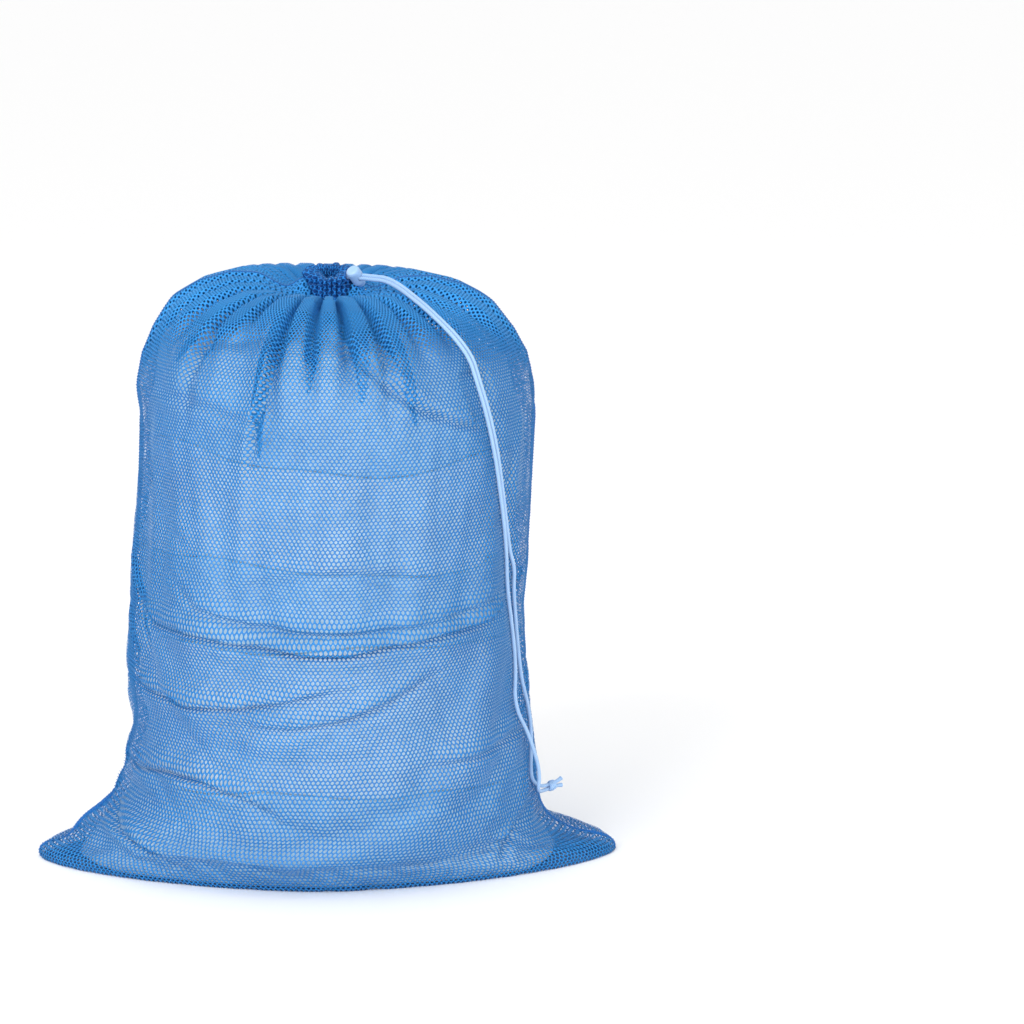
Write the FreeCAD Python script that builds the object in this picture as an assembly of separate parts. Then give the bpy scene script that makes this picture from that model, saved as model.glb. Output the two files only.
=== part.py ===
import FreeCAD, Part
import math
import os

# Mesh laundry bag with a drawcord mouth, standing full of laundry on its flat underside.
# Millimetres. Origin: middle of the underside on the floor. +Z up, the front faces -Y, +X to the right.
# The bag is two flat panels, 610 wide and 914 long, sewn together along both sides and the bottom.
# Filled, it becomes round, its two bottom corners stick out as ears, and its mouth is gathered to a neck.

V = FreeCAD.Vector

# ---- driving dimensions -------------------------------------------------------------------------
CLOTH = 1.2                 # thickness of the knitted mesh
SEAM_WIDTH = 6.0            # width of the overlocked seams
THREAD_RISE = 0.6           # how far sewing thread stands off the cloth
THREAD_WIDTH = 1.0
REACH = 700.0               # larger than the bag, for cutting blocks

# Outline of the standing bag: height, half width across (X), half depth (Y), and how far its middle
# lies to the right.
OUTLINE = [
    (0.0, 285.0, 145.0, 0.0),
    (8.0, 281.0, 151.0, 0.0),
    (25.0, 256.0, 161.0, -6.0),
    (45.0, 231.0, 172.0, -9.0),
    (70.0, 210.0, 182.0, 0.0),
    (115.0, 199.0, 190.0, 4.0),
    (160.0, 191.0, 190.0, 4.0),
    (250.0, 190.0, 190.0, 0.0),
    (340.0, 191.0, 191.0, 3.0),
    (440.0, 192.0, 192.0, 9.0),
    (470.0, 191.0, 191.0, 5.0),
]

NECK_X = 5.0                # the gathered neck's axis
# Top of the bag as a turned outline round the neck's axis: radius, height.
DOME = [
    (191.0, 470.0),
    (185.0, 498.0),
    (172.0, 521.0),
    (153.0, 539.0),
    (126.0, 554.0),
    (96.0, 562.0),
    (70.0, 560.0),
    (50.0, 556.0),
    (36.0, 553.0),
    (24.0, 552.0),
]

CASING_OUTER = 24.0         # gathered hem channel round the mouth
CASING_INNER = 11.0
CASING_LOW = 552.0
CASING_TOP = 584.0
CORD_HEIGHT = 577.0         # height of the drawcord in its channel
CORD_RING = 17.5            # radius at which the drawcord runs round the mouth
CHANNEL = 5.0               # diameter of the channel
CORD = 3.7                  # diameter of the braided drawcord
STRAND_GAP = 0.2            # between the two strands where they lie side by side

EXIT_TURN = 40.0            # the strands leave to the right, turned this far to the front, degrees
LOCK_TILT = 46.0            # how far the cord lock's button end points below level, degrees
LOCK_AT = 33.5              # distance of the cord lock from the neck's axis
STRAIGHT_TO = 75.6          # first corner of the strands, past the 12 mm that the lock can slide
BUTTON_TRAVEL = 3.5
LOCK_RADIUS = 6.7
PLUNGER_RADIUS = 5.1
CLEAR = 0.25                # running clearance in the lock

LOAD_GAP = 3.0              # the bag's outer face to the laundry
LOAD_LEVELS = [4.0, 112.0, 214.0, 318.0, 424.0]
LOAD_DIP = 541.0            # lowest point of the laundry's top, under the mouth
LOAD_SPLIT = 1.0            # gap between two bundles of laundry


def unit(vector):
    return V(vector).normalize()


OUT = unit(V(math.cos(math.radians(EXIT_TURN)), -math.sin(math.radians(EXIT_TURN)), 0))
BACK = V(-OUT.y, OUT.x, 0)
UP = V(0, 0, 1)
# The lock lies across the strands, its button end down and to the back.
LOCK_AXIS = BACK * math.cos(math.radians(LOCK_TILT)) - UP * math.sin(math.radians(LOCK_TILT))
# The strands pass through the lock one above the other, square to its axis.
STACK = BACK * math.sin(math.radians(LOCK_TILT)) + UP * math.cos(math.radians(LOCK_TILT))
NECK = V(NECK_X, 0, CORD_HEIGHT)
LOCK = NECK + OUT * LOCK_AT
STRAND_OFFSET = (CORD + STRAND_GAP) / 2


# ---- shaping helpers ----------------------------------------------------------------------------
def oval(height, half_width, half_depth, middle):
    """Closed level outline, at least as wide as it is deep."""
    return Part.Wire([Part.Ellipse(V(middle, 0, height), half_width, half_depth).toShape()])


def width_at(height):
    """Half width, half depth and middle of the outline at a height, between its listed levels."""
    for low, high in zip(OUTLINE, OUTLINE[1:]):
        if low[0] <= height <= high[0]:
            part = (height - low[0]) / (high[0] - low[0])
            return [low[i] + part * (high[i] - low[i]) for i in (1, 2, 3)]
    raise ValueError("height is off the bag's wall")


def lofted(low, high, inset):
    """Solid inside the bag's wall from one height to another, its side moved in by inset."""
    levels = [low] + [row[0] for row in OUTLINE if low + 0.5 < row[0] < high - 0.5] + [high]
    wires = []
    for height in levels:
        half_width, half_depth, middle = width_at(height)
        wires.append(oval(height, half_width - inset, half_depth - inset, middle))
    return Part.makeLoft(wires, True, True)


def moved_in(points, inset):
    """A turned outline moved in by inset, square to its slope."""
    moved = []
    for i, (radius, height) in enumerate(points):
        before = points[max(i - 1, 0)]
        after = points[min(i + 1, len(points) - 1)]
        run = after[0] - before[0]
        rise = after[1] - before[1]
        length = math.hypot(run, rise)
        moved.append((radius - inset * rise / length, height + inset * run / length))
    moved[0] = (points[0][0] - inset, points[0][1])
    moved[-1] = (points[-1][0], points[-1][1] - inset)
    return moved


def turned(points, axis_x=0.0):
    """Solid of revolution round a vertical axis from a closed list of radius and height."""
    corners = [V(axis_x + radius, 0, height) for radius, height in points]
    face = Part.Face(Part.makePolygon(corners + corners[:1]))
    return face.revolve(V(axis_x, 0, 0), V(0, 0, 1), 360)


def placed(shape, origin, z_axis, x_axis):
    """A shape moved from its own upright frame to an origin and two square axes."""
    y_axis = z_axis.cross(x_axis)
    moved = shape.copy()
    moved.Placement = FreeCAD.Placement(FreeCAD.Matrix(
        x_axis.x, y_axis.x, z_axis.x, origin.x,
        x_axis.y, y_axis.y, z_axis.y, origin.y,
        x_axis.z, y_axis.z, z_axis.z, origin.z,
        0, 0, 0, 1))
    return moved


def block(low, high):
    size = V(high) - V(low)
    return Part.makeBox(size.x, size.y, size.z, V(low))


def skin(inner, outer):
    """The bag's wall, underside and dome between two insets from its outer face, open at the neck."""
    top = OUTLINE[-1][0]
    wall = lofted(0, top, outer).cut(lofted(max(inner, 0), top, inner))
    dome = turned(moved_in(DOME, outer) + moved_in(DOME, inner)[::-1], NECK_X)
    return wall.fuse(dome).removeSplitter()


def solid_of(shape):
    """The largest solid of a shape, without leftovers."""
    return max(shape.Solids, key=lambda solid: solid.Volume)


# ---- cords --------------------------------------------------------------------------------------
def route_wire(points):
    """Straight runs joined by arcs that touch them, each as large as its two runs allow."""
    edges = []
    radii = []
    start = points[0]
    for before, corner, after in zip(points, points[1:], points[2:]):
        inward = corner - before
        outward = after - corner
        turn = inward.getAngle(outward)
        back = 0.45 * min(inward.Length, outward.Length)
        radii.append(back / math.tan(turn / 2))
        first = corner - unit(inward) * back
        last = corner + unit(outward) * back
        middle_way = unit(unit(outward) - unit(inward))
        lift = radii[-1] / math.cos(turn / 2) - radii[-1]
        edges.append(Part.LineSegment(start, first).toShape())
        edges.append(Part.Arc(first, corner + middle_way * lift, last).toShape())
        start = last
    edges.append(Part.LineSegment(start, points[-1]).toShape())
    return Part.Wire(edges), radii


def tube(name, points, diameter):
    """Solid tube along a route. Prints its length, tightest bend and how well its volume fits."""
    wire, radii = route_wire(points)
    section = Part.Wire([Part.Circle(points[0], points[1] - points[0], diameter / 2).toShape()])
    solid = wire.makePipeShell([section], True, False)
    ideal = math.pi * diameter ** 2 / 4 * wire.Length
    print(name, "length", round(wire.Length, 1), "tightest bend", round(min(radii), 1),
          "radii", [round(r) for r in radii], "volume share", round(solid.Volume / ideal, 4))
    return solid


# ---- panels, seams and sewing thread --------------------------------------------------------------
half_seam = SEAM_WIDTH / 2
half_thread = THREAD_WIDTH / 2
cloth = skin(CLOTH, 0)
thread_layer = skin(0, -THREAD_RISE)

in_front = block((-REACH, -REACH, -1), (REACH, -half_seam, REACH))
behind = block((-REACH, half_seam, -1), (REACH, REACH, REACH))
left_band = block((-REACH, -half_seam, CLOTH), (NECK_X, half_seam, REACH))
right_band = block((NECK_X, -half_seam, CLOTH), (REACH, half_seam, REACH))
floor_band = block((-REACH, -half_seam, -1), (REACH, half_seam, CLOTH))
left_line = block((-REACH, -half_thread, CLOTH), (NECK_X, half_thread, REACH))
right_line = block((NECK_X, -half_thread, CLOTH), (REACH, half_thread, REACH))

pieces = {}
pieces["front_panel"] = solid_of(cloth.common(in_front))
pieces["back_panel"] = solid_of(cloth.common(behind))
pieces["left_side_seam"] = solid_of(cloth.common(left_band))
pieces["right_side_seam"] = solid_of(cloth.common(right_band))
pieces["bottom_seam"] = solid_of(cloth.common(floor_band))
pieces["left_seam_thread"] = solid_of(thread_layer.common(left_line))
pieces["right_seam_thread"] = solid_of(thread_layer.common(right_line))
# The bottom seam's allowance is turned inwards, so its thread lies inside the bag.
ear_reach = OUTLINE[0][1] - 8
pieces["bottom_seam_thread"] = block(
    (-ear_reach, -half_thread, CLOTH), (ear_reach, half_thread, CLOTH + THREAD_RISE))

# ---- gathered hem casing round the mouth -----------------------------------------------------------
round_edge = 3.0
casing_outline = [
    (CASING_OUTER, CASING_LOW),
    (CASING_OUTER, CASING_TOP - round_edge),
    (CASING_OUTER - round_edge, CASING_TOP),
    (CASING_INNER + round_edge, CASING_TOP),
    (CASING_INNER, CASING_TOP - round_edge),
    (CASING_INNER, CASING_LOW),
]
casing = turned(casing_outline, NECK_X)
casing = casing.cut(Part.makeTorus(CORD_RING, CHANNEL / 2, NECK))
mouth_of_channel = block((CORD_RING - 4, -8.5, -3.6), (CASING_OUTER + 4, 8.5, 3.6))
mouth_of_channel.rotate(V(0, 0, 0), UP, -EXIT_TURN)
mouth_of_channel.translate(NECK)
casing = casing.cut(mouth_of_channel)
pieces["front_casing"] = solid_of(casing.common(block((-REACH, -REACH, 0), (REACH, 0, REACH))))
pieces["back_casing"] = solid_of(casing.common(block((-REACH, 0, 0), (REACH, REACH, REACH))))

# One line of stitching closes the channel below the cord.
stitch_height = CORD_HEIGHT - 8
stitch_outline = [
    (CASING_OUTER, stitch_height - half_thread),
    (CASING_OUTER + THREAD_RISE, stitch_height - half_thread),
    (CASING_OUTER + THREAD_RISE, stitch_height + half_thread),
    (CASING_OUTER, stitch_height + half_thread),
]
pieces["casing_stitching"] = turned(stitch_outline, NECK_X)

# Stitched edge of the slot that the cord comes out of.
edge_width = 1.4
slot_frame = block((23.2, -5.4 - edge_width, -3.6 - edge_width), (25.4, 5.4 + edge_width, 3.6 + edge_width))
slot_frame = slot_frame.cut(block((20, -5.4, -3.6), (30, 5.4, 3.6)))
slot_frame.rotate(V(0, 0, 0), UP, -EXIT_TURN)
slot_frame.translate(NECK)
pieces["cord_slot_edge"] = solid_of(slot_frame.cut(casing))

# ---- drawcord -------------------------------------------------------------------------------------
exit_reach = 25.6
upper_exit = NECK + OUT * exit_reach + STACK * STRAND_OFFSET
lower_exit = NECK + OUT * exit_reach - STACK * STRAND_OFFSET


def ring_point(angle):
    """A point on the cord's ring, the angle counted from the exit towards the back, degrees."""
    turn = math.radians(angle)
    return NECK + OUT * (CORD_RING * math.cos(turn)) + BACK * (CORD_RING * math.sin(turn))


corner_reach = 20.5
ring_route = [upper_exit, NECK + OUT * corner_reach + STACK * STRAND_OFFSET]
ring_route += [ring_point(angle) for angle in range(36, 360 - 35, 24)]
ring_route += [NECK + OUT * corner_reach - STACK * STRAND_OFFSET, lower_exit]
pieces["drawcord_in_casing"] = tube("drawcord_in_casing", ring_route, CORD)

# The two strands run straight through the lock, over the front right of the dome, and hang down the
# right side to the knot that joins their ends.
knot_along = unit(V(0.75, 0.65, 0.1))
knot_across = unit(UP - knot_along * UP.dot(knot_along))
knot_half = 5.2
knot_middle = V(218.9, -28.6, 72.5)
into_knot = knot_middle - knot_along * knot_half
out_of_knot = knot_middle + knot_along * knot_half
side_gap = knot_across * (STRAND_OFFSET + 0.1)
last_run = knot_along * 8

right_strand = [
    (91, -90.5, 562), (110, -112, 546.5), (125.5, -122, 531.5), (138.5, -126, 513.5),
    (144.5, -130, 493), (151.5, -130, 470), (157.5, -127, 445.5), (163, -121, 417),
    (167.5, -111, 382), (172, -101, 345), (175, -94, 320), (180, -87, 303), (179, -82, 283),
    (181, -72, 257), (183.5, -63, 228), (186, -60, 203), (188.5, -57, 184), (193.5, -49, 165),
    (198, -41, 145), (201.5, -37, 126), (203, -40, 108), (204.5, -46, 94), (205.5, -46.5, 83),
]
left_strand = [
    (87, -93.5, 562), (106.5, -115.5, 546.5), (122.5, -126, 530.5), (135.5, -130, 512.5),
    (141.5, -133, 492.5), (148.5, -133, 469.5), (154.5, -130.5, 444.5), (160, -124.5, 416),
    (165, -115, 381), (169.5, -105, 344.5), (171.5, -100, 317.5), (172, -96, 300),
    (173, -92, 280), (177, -81, 250), (180.5, -73, 220), (181.5, -73, 196), (180, -82, 177),
    (182.5, -80, 158), (190, -69, 140), (194, -68, 120), (198, -63, 102), (199.5, -63, 88),
    (198.5, -65, 77), (203, -54, 72),
]
first_corner = NECK + OUT * STRAIGHT_TO
right_route = [upper_exit, first_corner + STACK * STRAND_OFFSET]
right_route += [V(*point) for point in right_strand]
right_route += [into_knot + side_gap - last_run, into_knot + side_gap]
left_route = [lower_exit, first_corner - STACK * STRAND_OFFSET]
left_route += [V(*point) for point in left_strand]
left_route += [into_knot - side_gap - last_run, into_knot - side_gap]
pieces["drawcord_right_strand"] = tube("drawcord_right_strand", right_route, CORD)
pieces["drawcord_left_strand"] = tube("drawcord_left_strand", left_route, CORD)

knot = turned([
    (0, -knot_half),
    (4.2, -knot_half),
    (5.3, -3.2),
    (5.7, 0),
    (5.3, 3.2),
    (4.2, knot_half),
    (0, knot_half),
])
pieces["end_knot"] = placed(knot, knot_middle, knot_along, knot_across)

upper_tail = [out_of_knot + side_gap]
upper_tail += [upper_tail[0] + knot_along * 3.6]
upper_tail += [upper_tail[1] + unit(V(0.75, 0.3, 0.6)) * 5.5]
lower_tail = [out_of_knot - side_gap]
lower_tail += [lower_tail[0] + knot_along * 3.6]
lower_tail += [lower_tail[1] + unit(V(0.85, 0.45, -0.1)) * 4.5]
pieces["upper_cord_tail"] = tube("upper_cord_tail", upper_tail, CORD)
pieces["lower_cord_tail"] = tube("lower_cord_tail", lower_tail, CORD)

# ---- cord lock --------------------------------------------------------------------------------------
# Its own frame: X along the strands, Z along the barrel towards its button.
barrel_low = -10.0
barrel_high = 7.0
bore_end = barrel_low + 2.0
barrel = turned([
    (0, barrel_low),
    (LOCK_RADIUS - 2.2, barrel_low),
    (LOCK_RADIUS - 0.6, barrel_low + 1.0),
    (LOCK_RADIUS, barrel_low + 3.0),
    (LOCK_RADIUS, barrel_high - 1.0),
    (LOCK_RADIUS - 0.8, barrel_high),
    (PLUNGER_RADIUS + CLEAR, barrel_high),
    (PLUNGER_RADIUS + CLEAR, bore_end),
    (0, bore_end),
])
cord_hole_half = 2 * STRAND_OFFSET - STRAND_GAP / 2 + CLEAR + 0.1
cord_hole = block((-10, -cord_hole_half, -CORD / 2 - CLEAR), (10, cord_hole_half, CORD / 2 + CLEAR))
pieces["lock_barrel"] = placed(barrel.cut(cord_hole), LOCK, LOCK_AXIS, OUT)

# The plunger stands out by its travel. Its hole pinches the strands until it is pressed in, and the
# pocket in its inner end holds the spring's end, so that the pressed spring still has room.
plunger_low = -4.2
pocket_radius = 3.8
pocket_end = plunger_low + 1.1
plunger = turned([
    (0, pocket_end),
    (pocket_radius, pocket_end),
    (pocket_radius, plunger_low),
    (PLUNGER_RADIUS, plunger_low),
    (PLUNGER_RADIUS, barrel_high + 0.6),
    (PLUNGER_RADIUS - 0.8, barrel_high + 4.0),
    (PLUNGER_RADIUS - 2.2, barrel_high + 5.2),
    (0, barrel_high + 5.6),
])
plunger_hole = block(
    (-10, -cord_hole_half, -CORD / 2 - CLEAR),
    (10, cord_hole_half, CORD / 2 + CLEAR + BUTTON_TRAVEL))
pieces["lock_button"] = placed(plunger.cut(plunger_hole), LOCK, LOCK_AXIS, OUT)

# Compression spring between the barrel's blind end and the plunger's pocket: 4.8 mm long, 1.2 mm solid.
spring_radius = 3.2
spring_wire = 0.4
spring_turns = 2
points_in_turn = 12
spring_low = bore_end + spring_wire / 2 + 0.05
spring_high = pocket_end - spring_wire / 2 - 0.05
spring_route = []
for i in range(spring_turns * points_in_turn + 1):
    turn = 2 * math.pi * i / points_in_turn
    height = spring_low + (spring_high - spring_low) * i / (spring_turns * points_in_turn)
    spring_route.append(V(spring_radius * math.cos(turn), spring_radius * math.sin(turn), height))
pieces["lock_spring"] = placed(tube("lock_spring", spring_route, spring_wire), LOCK, LOCK_AXIS, OUT)

# ---- laundry ----------------------------------------------------------------------------------------
names = ["laundry_bottom", "laundry_lower", "laundry_middle", "laundry_upper"]
for name, low, high in zip(names, LOAD_LEVELS, LOAD_LEVELS[1:]):
    pieces[name] = solid_of(lofted(low, high - LOAD_SPLIT, LOAD_GAP))

# Four bundles press up under the dome all round the mouth.
under_dome = moved_in(DOME, LOAD_GAP)[:-2]
top_low = LOAD_LEVELS[-1]
top_wall = lofted(top_low, OUTLINE[-1][0], LOAD_GAP)
top_outline = [(0, top_low + 10), (180, top_low + 10)] + under_dome + [(22, LOAD_DIP), (0, LOAD_DIP)]
top_load = top_wall.fuse(turned(top_outline, NECK_X))
half_split = LOAD_SPLIT / 2
sides = {"left": (-REACH, NECK_X - half_split), "right": (NECK_X + half_split, REACH)}
faces = {"front": (-REACH, -half_split), "back": (half_split, REACH)}
for face, (near, far) in faces.items():
    for side, (left, right) in sides.items():
        quarter = top_load.common(block((left, near, 0), (right, far, REACH)))
        pieces["laundry_top_" + face + "_" + side] = solid_of(quarter)

os.makedirs("parts", exist_ok=True)
for name, shape in pieces.items():
    shape.exportStep("parts/" + name + ".step")
    print(name, "valid" if shape.isValid() else "INVALID", len(shape.Solids), round(shape.Volume),
          [round(v, 1) for v in (shape.BoundBox.XMin, shape.BoundBox.XMax, shape.BoundBox.YMin,
                                 shape.BoundBox.YMax, shape.BoundBox.ZMin, shape.BoundBox.ZMax)])
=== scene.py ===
import math

import bmesh
import bpy
import numpy as np
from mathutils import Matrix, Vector


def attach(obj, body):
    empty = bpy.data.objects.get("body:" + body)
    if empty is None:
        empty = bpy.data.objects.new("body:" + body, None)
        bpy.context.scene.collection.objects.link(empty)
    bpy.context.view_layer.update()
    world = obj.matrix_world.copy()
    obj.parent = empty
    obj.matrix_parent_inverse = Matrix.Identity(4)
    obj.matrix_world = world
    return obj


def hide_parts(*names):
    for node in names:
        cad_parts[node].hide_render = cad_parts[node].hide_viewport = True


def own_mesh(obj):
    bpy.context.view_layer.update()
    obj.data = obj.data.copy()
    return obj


# Mesh laundry bag, standing full of laundry with its mouth drawn shut. Metres, +Z up, front to -Y.
# Its cloth is two flat panels sewn together. Every cloth point is found from two numbers: how far
# across the panel it lies, from seam to seam, and how far up the cloth from the bottom seam.

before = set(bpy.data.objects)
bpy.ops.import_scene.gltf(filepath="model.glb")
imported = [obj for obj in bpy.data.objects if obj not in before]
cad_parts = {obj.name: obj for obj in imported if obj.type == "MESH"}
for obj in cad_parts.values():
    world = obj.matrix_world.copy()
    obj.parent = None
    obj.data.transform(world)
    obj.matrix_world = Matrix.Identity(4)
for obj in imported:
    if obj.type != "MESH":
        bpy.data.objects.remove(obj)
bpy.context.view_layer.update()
MM = 0.001

# ---- driving dimensions --------------------------------------------------------------------------
PANEL_WIDTH = 0.610
CLOTH = 0.9 * MM            # thickness of the knitted mesh
SEAM_HALF = 3.0 * MM        # the panels stop this far from the line of the seams
FLOOR_GAP = 0.7 * MM        # middle of the cloth above the floor
ABOVE_FLOOR = 0.1 * MM
NECK_X = 5.0 * MM
CASING_OUTER = 24.0 * MM
CASING_INNER = 11.0 * MM
CASING_LOW = 552.0 * MM
CASING_TOP = 584.0 * MM
CORD = 3.7 * MM
CORD_HEIGHT = 577.0 * MM    # middle of the channel that the cord runs in
STITCH_HEIGHT = 569.0 * MM  # line of stitches that closes the channel
BODY_TOP = 0.470            # the wall ends and the dome begins at this height
BODY_RADIUS = 0.190         # turns an angle round the bag into a distance

# Outline of the filled bag: height, its left and right edge, its half depth, and how round the
# level section is: 2 is an ellipse, less is pointed towards the two ears.
OUTLINE = [
    (0, -284, 283, 141, 1.60),
    (7, -289, 285, 148, 1.60),
    (16, -276, 275, 155, 1.62),
    (25, -263, 251, 161, 1.66),
    (40, -248, 227, 170, 1.72),
    (52, -236, 216, 176, 1.80),
    (62, -219, 212, 179, 1.86),
    (75, -205, 209, 183, 1.90),
    (95, -199, 206, 187, 1.96),
    (116, -196, 203, 189, 2.00),
    (134, -187, 200, 190, 2.02),
    (155, -186, 197, 190, 2.04),
    (170, -193, 195, 190, 2.04),
    (202, -197, 191, 190, 2.04),
    (229, -192, 188, 190, 2.04),
    (260, -191, 188, 190, 2.04),
    (303, -190, 192, 190, 2.04),
    (334, -186, 194, 191, 2.04),
    (366, -181, 196, 191, 2.04),
    (402, -178, 200, 191, 2.02),
    (441, -178, 203, 191, 2.00),
    (470, -181, 201, 191, 2.00),
]
# Top of the bag round the neck: radius, height. Its sides and back stand higher than its front.
DOME = [
    (191, 470), (188, 485), (184, 500), (172, 520), (153, 538), (126, 553), (96, 561), (70, 560),
    (50, 557), (36, 554), (24, 553),
]
DOME_RISE = 11.0 * MM
LEFT_HIGHER = 0.5           # share by which the dome rises more on its left side
FRONT_DIP = 5.0 * MM        # the rim of the mouth and the cord in it dip this much in front
COLLAR_RISE = 17.0 * MM     # beside and behind the mouth the cloth climbs to the rim of the hem

# ---- small helpers -------------------------------------------------------------------------------
def bell(value):
    """1 at zero, falling smoothly to nothing past 2."""
    return np.exp(-np.square(value))


def rise(value, low, high):
    """0 up to low, 1 from high on, smooth between."""
    share = np.clip((value - low) / (high - low), 0, 1)
    return share * share * (3 - 2 * share)


def lengths_along(points):
    """Distance along a line of points, from its start to each of them."""
    steps = np.linalg.norm(np.diff(points, axis=0), axis=1)
    return np.concatenate([[0.0], np.cumsum(steps)])


# ---- camera, light and floor -----------------------------------------------------------------------
def set_stage():
    """Camera at the usual viewing angle, a pale floor and soft studio light."""
    scene = bpy.context.scene
    scene.view_settings.view_transform = "Standard"
    distance = 4.0
    above = math.radians(11.5)
    middle_height = 0.28
    lens = bpy.data.cameras.new("camera")
    lens.sensor_width = 36.0
    lens.lens = 143.44
    camera = bpy.data.objects.new("camera", lens)
    camera.location = (0, -distance * math.cos(above), middle_height + distance * math.sin(above))
    aim_right = math.radians(2.649)
    aim_down = math.radians(10.627)
    camera.rotation_euler = (math.pi / 2 - aim_down, 0, -aim_right)
    scene.collection.objects.link(camera)
    scene.camera = camera

    world = bpy.data.worlds.new("studio")
    world.use_nodes = True
    world.node_tree.nodes["Background"].inputs["Color"].default_value = (1, 1, 1, 1)
    world.node_tree.nodes["Background"].inputs["Strength"].default_value = 1.0
    scene.world = world

    for name, place, power, size in (
            ("key_light", (-1.6, -2.6, 2.4), 60, 1.6),
            ("fill_light", (0.8, -3.0, 0.35), 42, 1.8)):
        light = bpy.data.lights.new(name, "AREA")
        light.energy = power
        light.size = size
        lamp = bpy.data.objects.new(name, light)
        lamp.location = place
        toward = Vector((0, 0, 0.3)) - Vector(place)
        lamp.rotation_euler = toward.to_track_quat("-Z", "Y").to_euler()
        scene.collection.objects.link(lamp)

    bm = bmesh.new()
    bmesh.ops.create_grid(bm, x_segments=1, y_segments=1, size=14)
    mesh = bpy.data.meshes.new("floor")
    bm.to_mesh(mesh)
    bm.free()
    floor = bpy.data.objects.new("floor", mesh)
    scene.collection.objects.link(floor)
    floor.data.materials.append(floor_paper())


# ---- shader writing --------------------------------------------------------------------------------
class Number:
    """A socket that carries one number. Arithmetic on it adds Math nodes."""

    def __init__(self, paint, socket):
        self.paint = paint
        self.socket = socket

    def math(self, operation, *others, clamp=False):
        inputs = dict(enumerate((self,) + others))
        made = self.paint.node("ShaderNodeMath", {"operation": operation, "use_clamp": clamp}, inputs)
        return Number(self.paint, made.outputs[0])

    def reverse(self, operation, other):
        made = self.paint.node("ShaderNodeMath", {"operation": operation}, {0: other, 1: self})
        return Number(self.paint, made.outputs[0])

    def __add__(self, other):
        return self.math("ADD", other)

    def __sub__(self, other):
        return self.math("SUBTRACT", other)

    def __mul__(self, other):
        return self.math("MULTIPLY", other)

    def __truediv__(self, other):
        return self.math("DIVIDE", other)

    def __pow__(self, other):
        return self.math("POWER", other)

    def __abs__(self):
        return self.math("ABSOLUTE")

    def __rsub__(self, other):
        return self.reverse("SUBTRACT", other)

    def __rtruediv__(self, other):
        return self.reverse("DIVIDE", other)

    __radd__ = __add__
    __rmul__ = __mul__

    def fraction(self):
        return self.math("FRACT")

    def least(self, other):
        return self.math("MINIMUM", other)

    def most(self, other):
        return self.math("MAXIMUM", other)

    def clamped(self):
        return self.math("ADD", 0.0, clamp=True)


class Paint:
    """One material and its nodes."""

    def __init__(self, name):
        self.material = bpy.data.materials.new(name)
        self.material.use_nodes = True
        self.tree = self.material.node_tree
        self.tree.nodes.clear()

    def node(self, kind, settings=None, inputs=None):
        """A node of that type, its settings made first, then the values or links of its sockets."""
        made = self.tree.nodes.new(kind)
        for name, value in (settings or {}).items():
            setattr(made, name, value)
        for name, value in (inputs or {}).items():
            socket = made.inputs[name]
            if isinstance(value, Number):
                self.tree.links.new(value.socket, socket)
            elif isinstance(value, bpy.types.NodeSocket):
                self.tree.links.new(value, socket)
            else:
                socket.default_value = value
        return made

    def number(self, kind, settings=None, inputs=None, output=0):
        """A node whose output is a number."""
        return Number(self, self.node(kind, settings, inputs).outputs[output])

    def object_place(self):
        return self.node("ShaderNodeTexCoord").outputs["Object"]

    def uv_parts(self, name):
        """The two directions of a piece's own UV map, as numbers."""
        uv = self.node("ShaderNodeUVMap", {"uv_map": name}).outputs["UV"]
        parts = self.node("ShaderNodeSeparateXYZ", None, {0: uv})
        return Number(self, parts.outputs[0]), Number(self, parts.outputs[1])

    def noise(self, place, scale, detail=2.0):
        return self.number("ShaderNodeTexNoise", {}, {"Vector": place, "Scale": scale, "Detail": detail})

    def mix(self, share, first, second):
        """A colour between two, as a socket."""
        made = self.node("ShaderNodeMix", {"data_type": "RGBA"}, {0: share, 6: first, 7: second})
        return made.outputs[2]

    def bump(self, height, depth, strength=1.0):
        inputs = {"Height": height, "Distance": depth, "Strength": strength}
        return self.node("ShaderNodeBump", None, inputs).outputs[0]

    def finish(self, inputs):
        """The surface shader and its output."""
        shader = self.node("ShaderNodeBsdfPrincipled", None, inputs)
        self.node("ShaderNodeOutputMaterial", None, {"Surface": shader.outputs[0]})
        return self.material


def linear(red, green, blue):
    """A colour given as 0 to 255 display values, as the shader wants it."""
    parts = []
    for value in (red, green, blue):
        share = value / 255
        parts.append(share / 12.92 if share <= 0.04045 else ((share + 0.055) / 1.055) ** 2.4)
    return (*parts, 1.0)


# ---- materials -------------------------------------------------------------------------------------
CLOTH_UV = "cloth"
CORD_UV = "along_cord"
GATHERED = "gathered"
HIDDEN_GATHERED = 0.3       # how tightly the hidden layers of the gathers count as gathered


def floor_paper():
    """Plain pale studio floor."""
    paint = Paint("floor_paper")
    grain = paint.noise(paint.object_place(), 900.0)
    colour = paint.mix(grain, linear(250, 250, 250), linear(255, 255, 255))
    return paint.finish({"Base Color": colour, "Roughness": 0.9})


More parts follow.
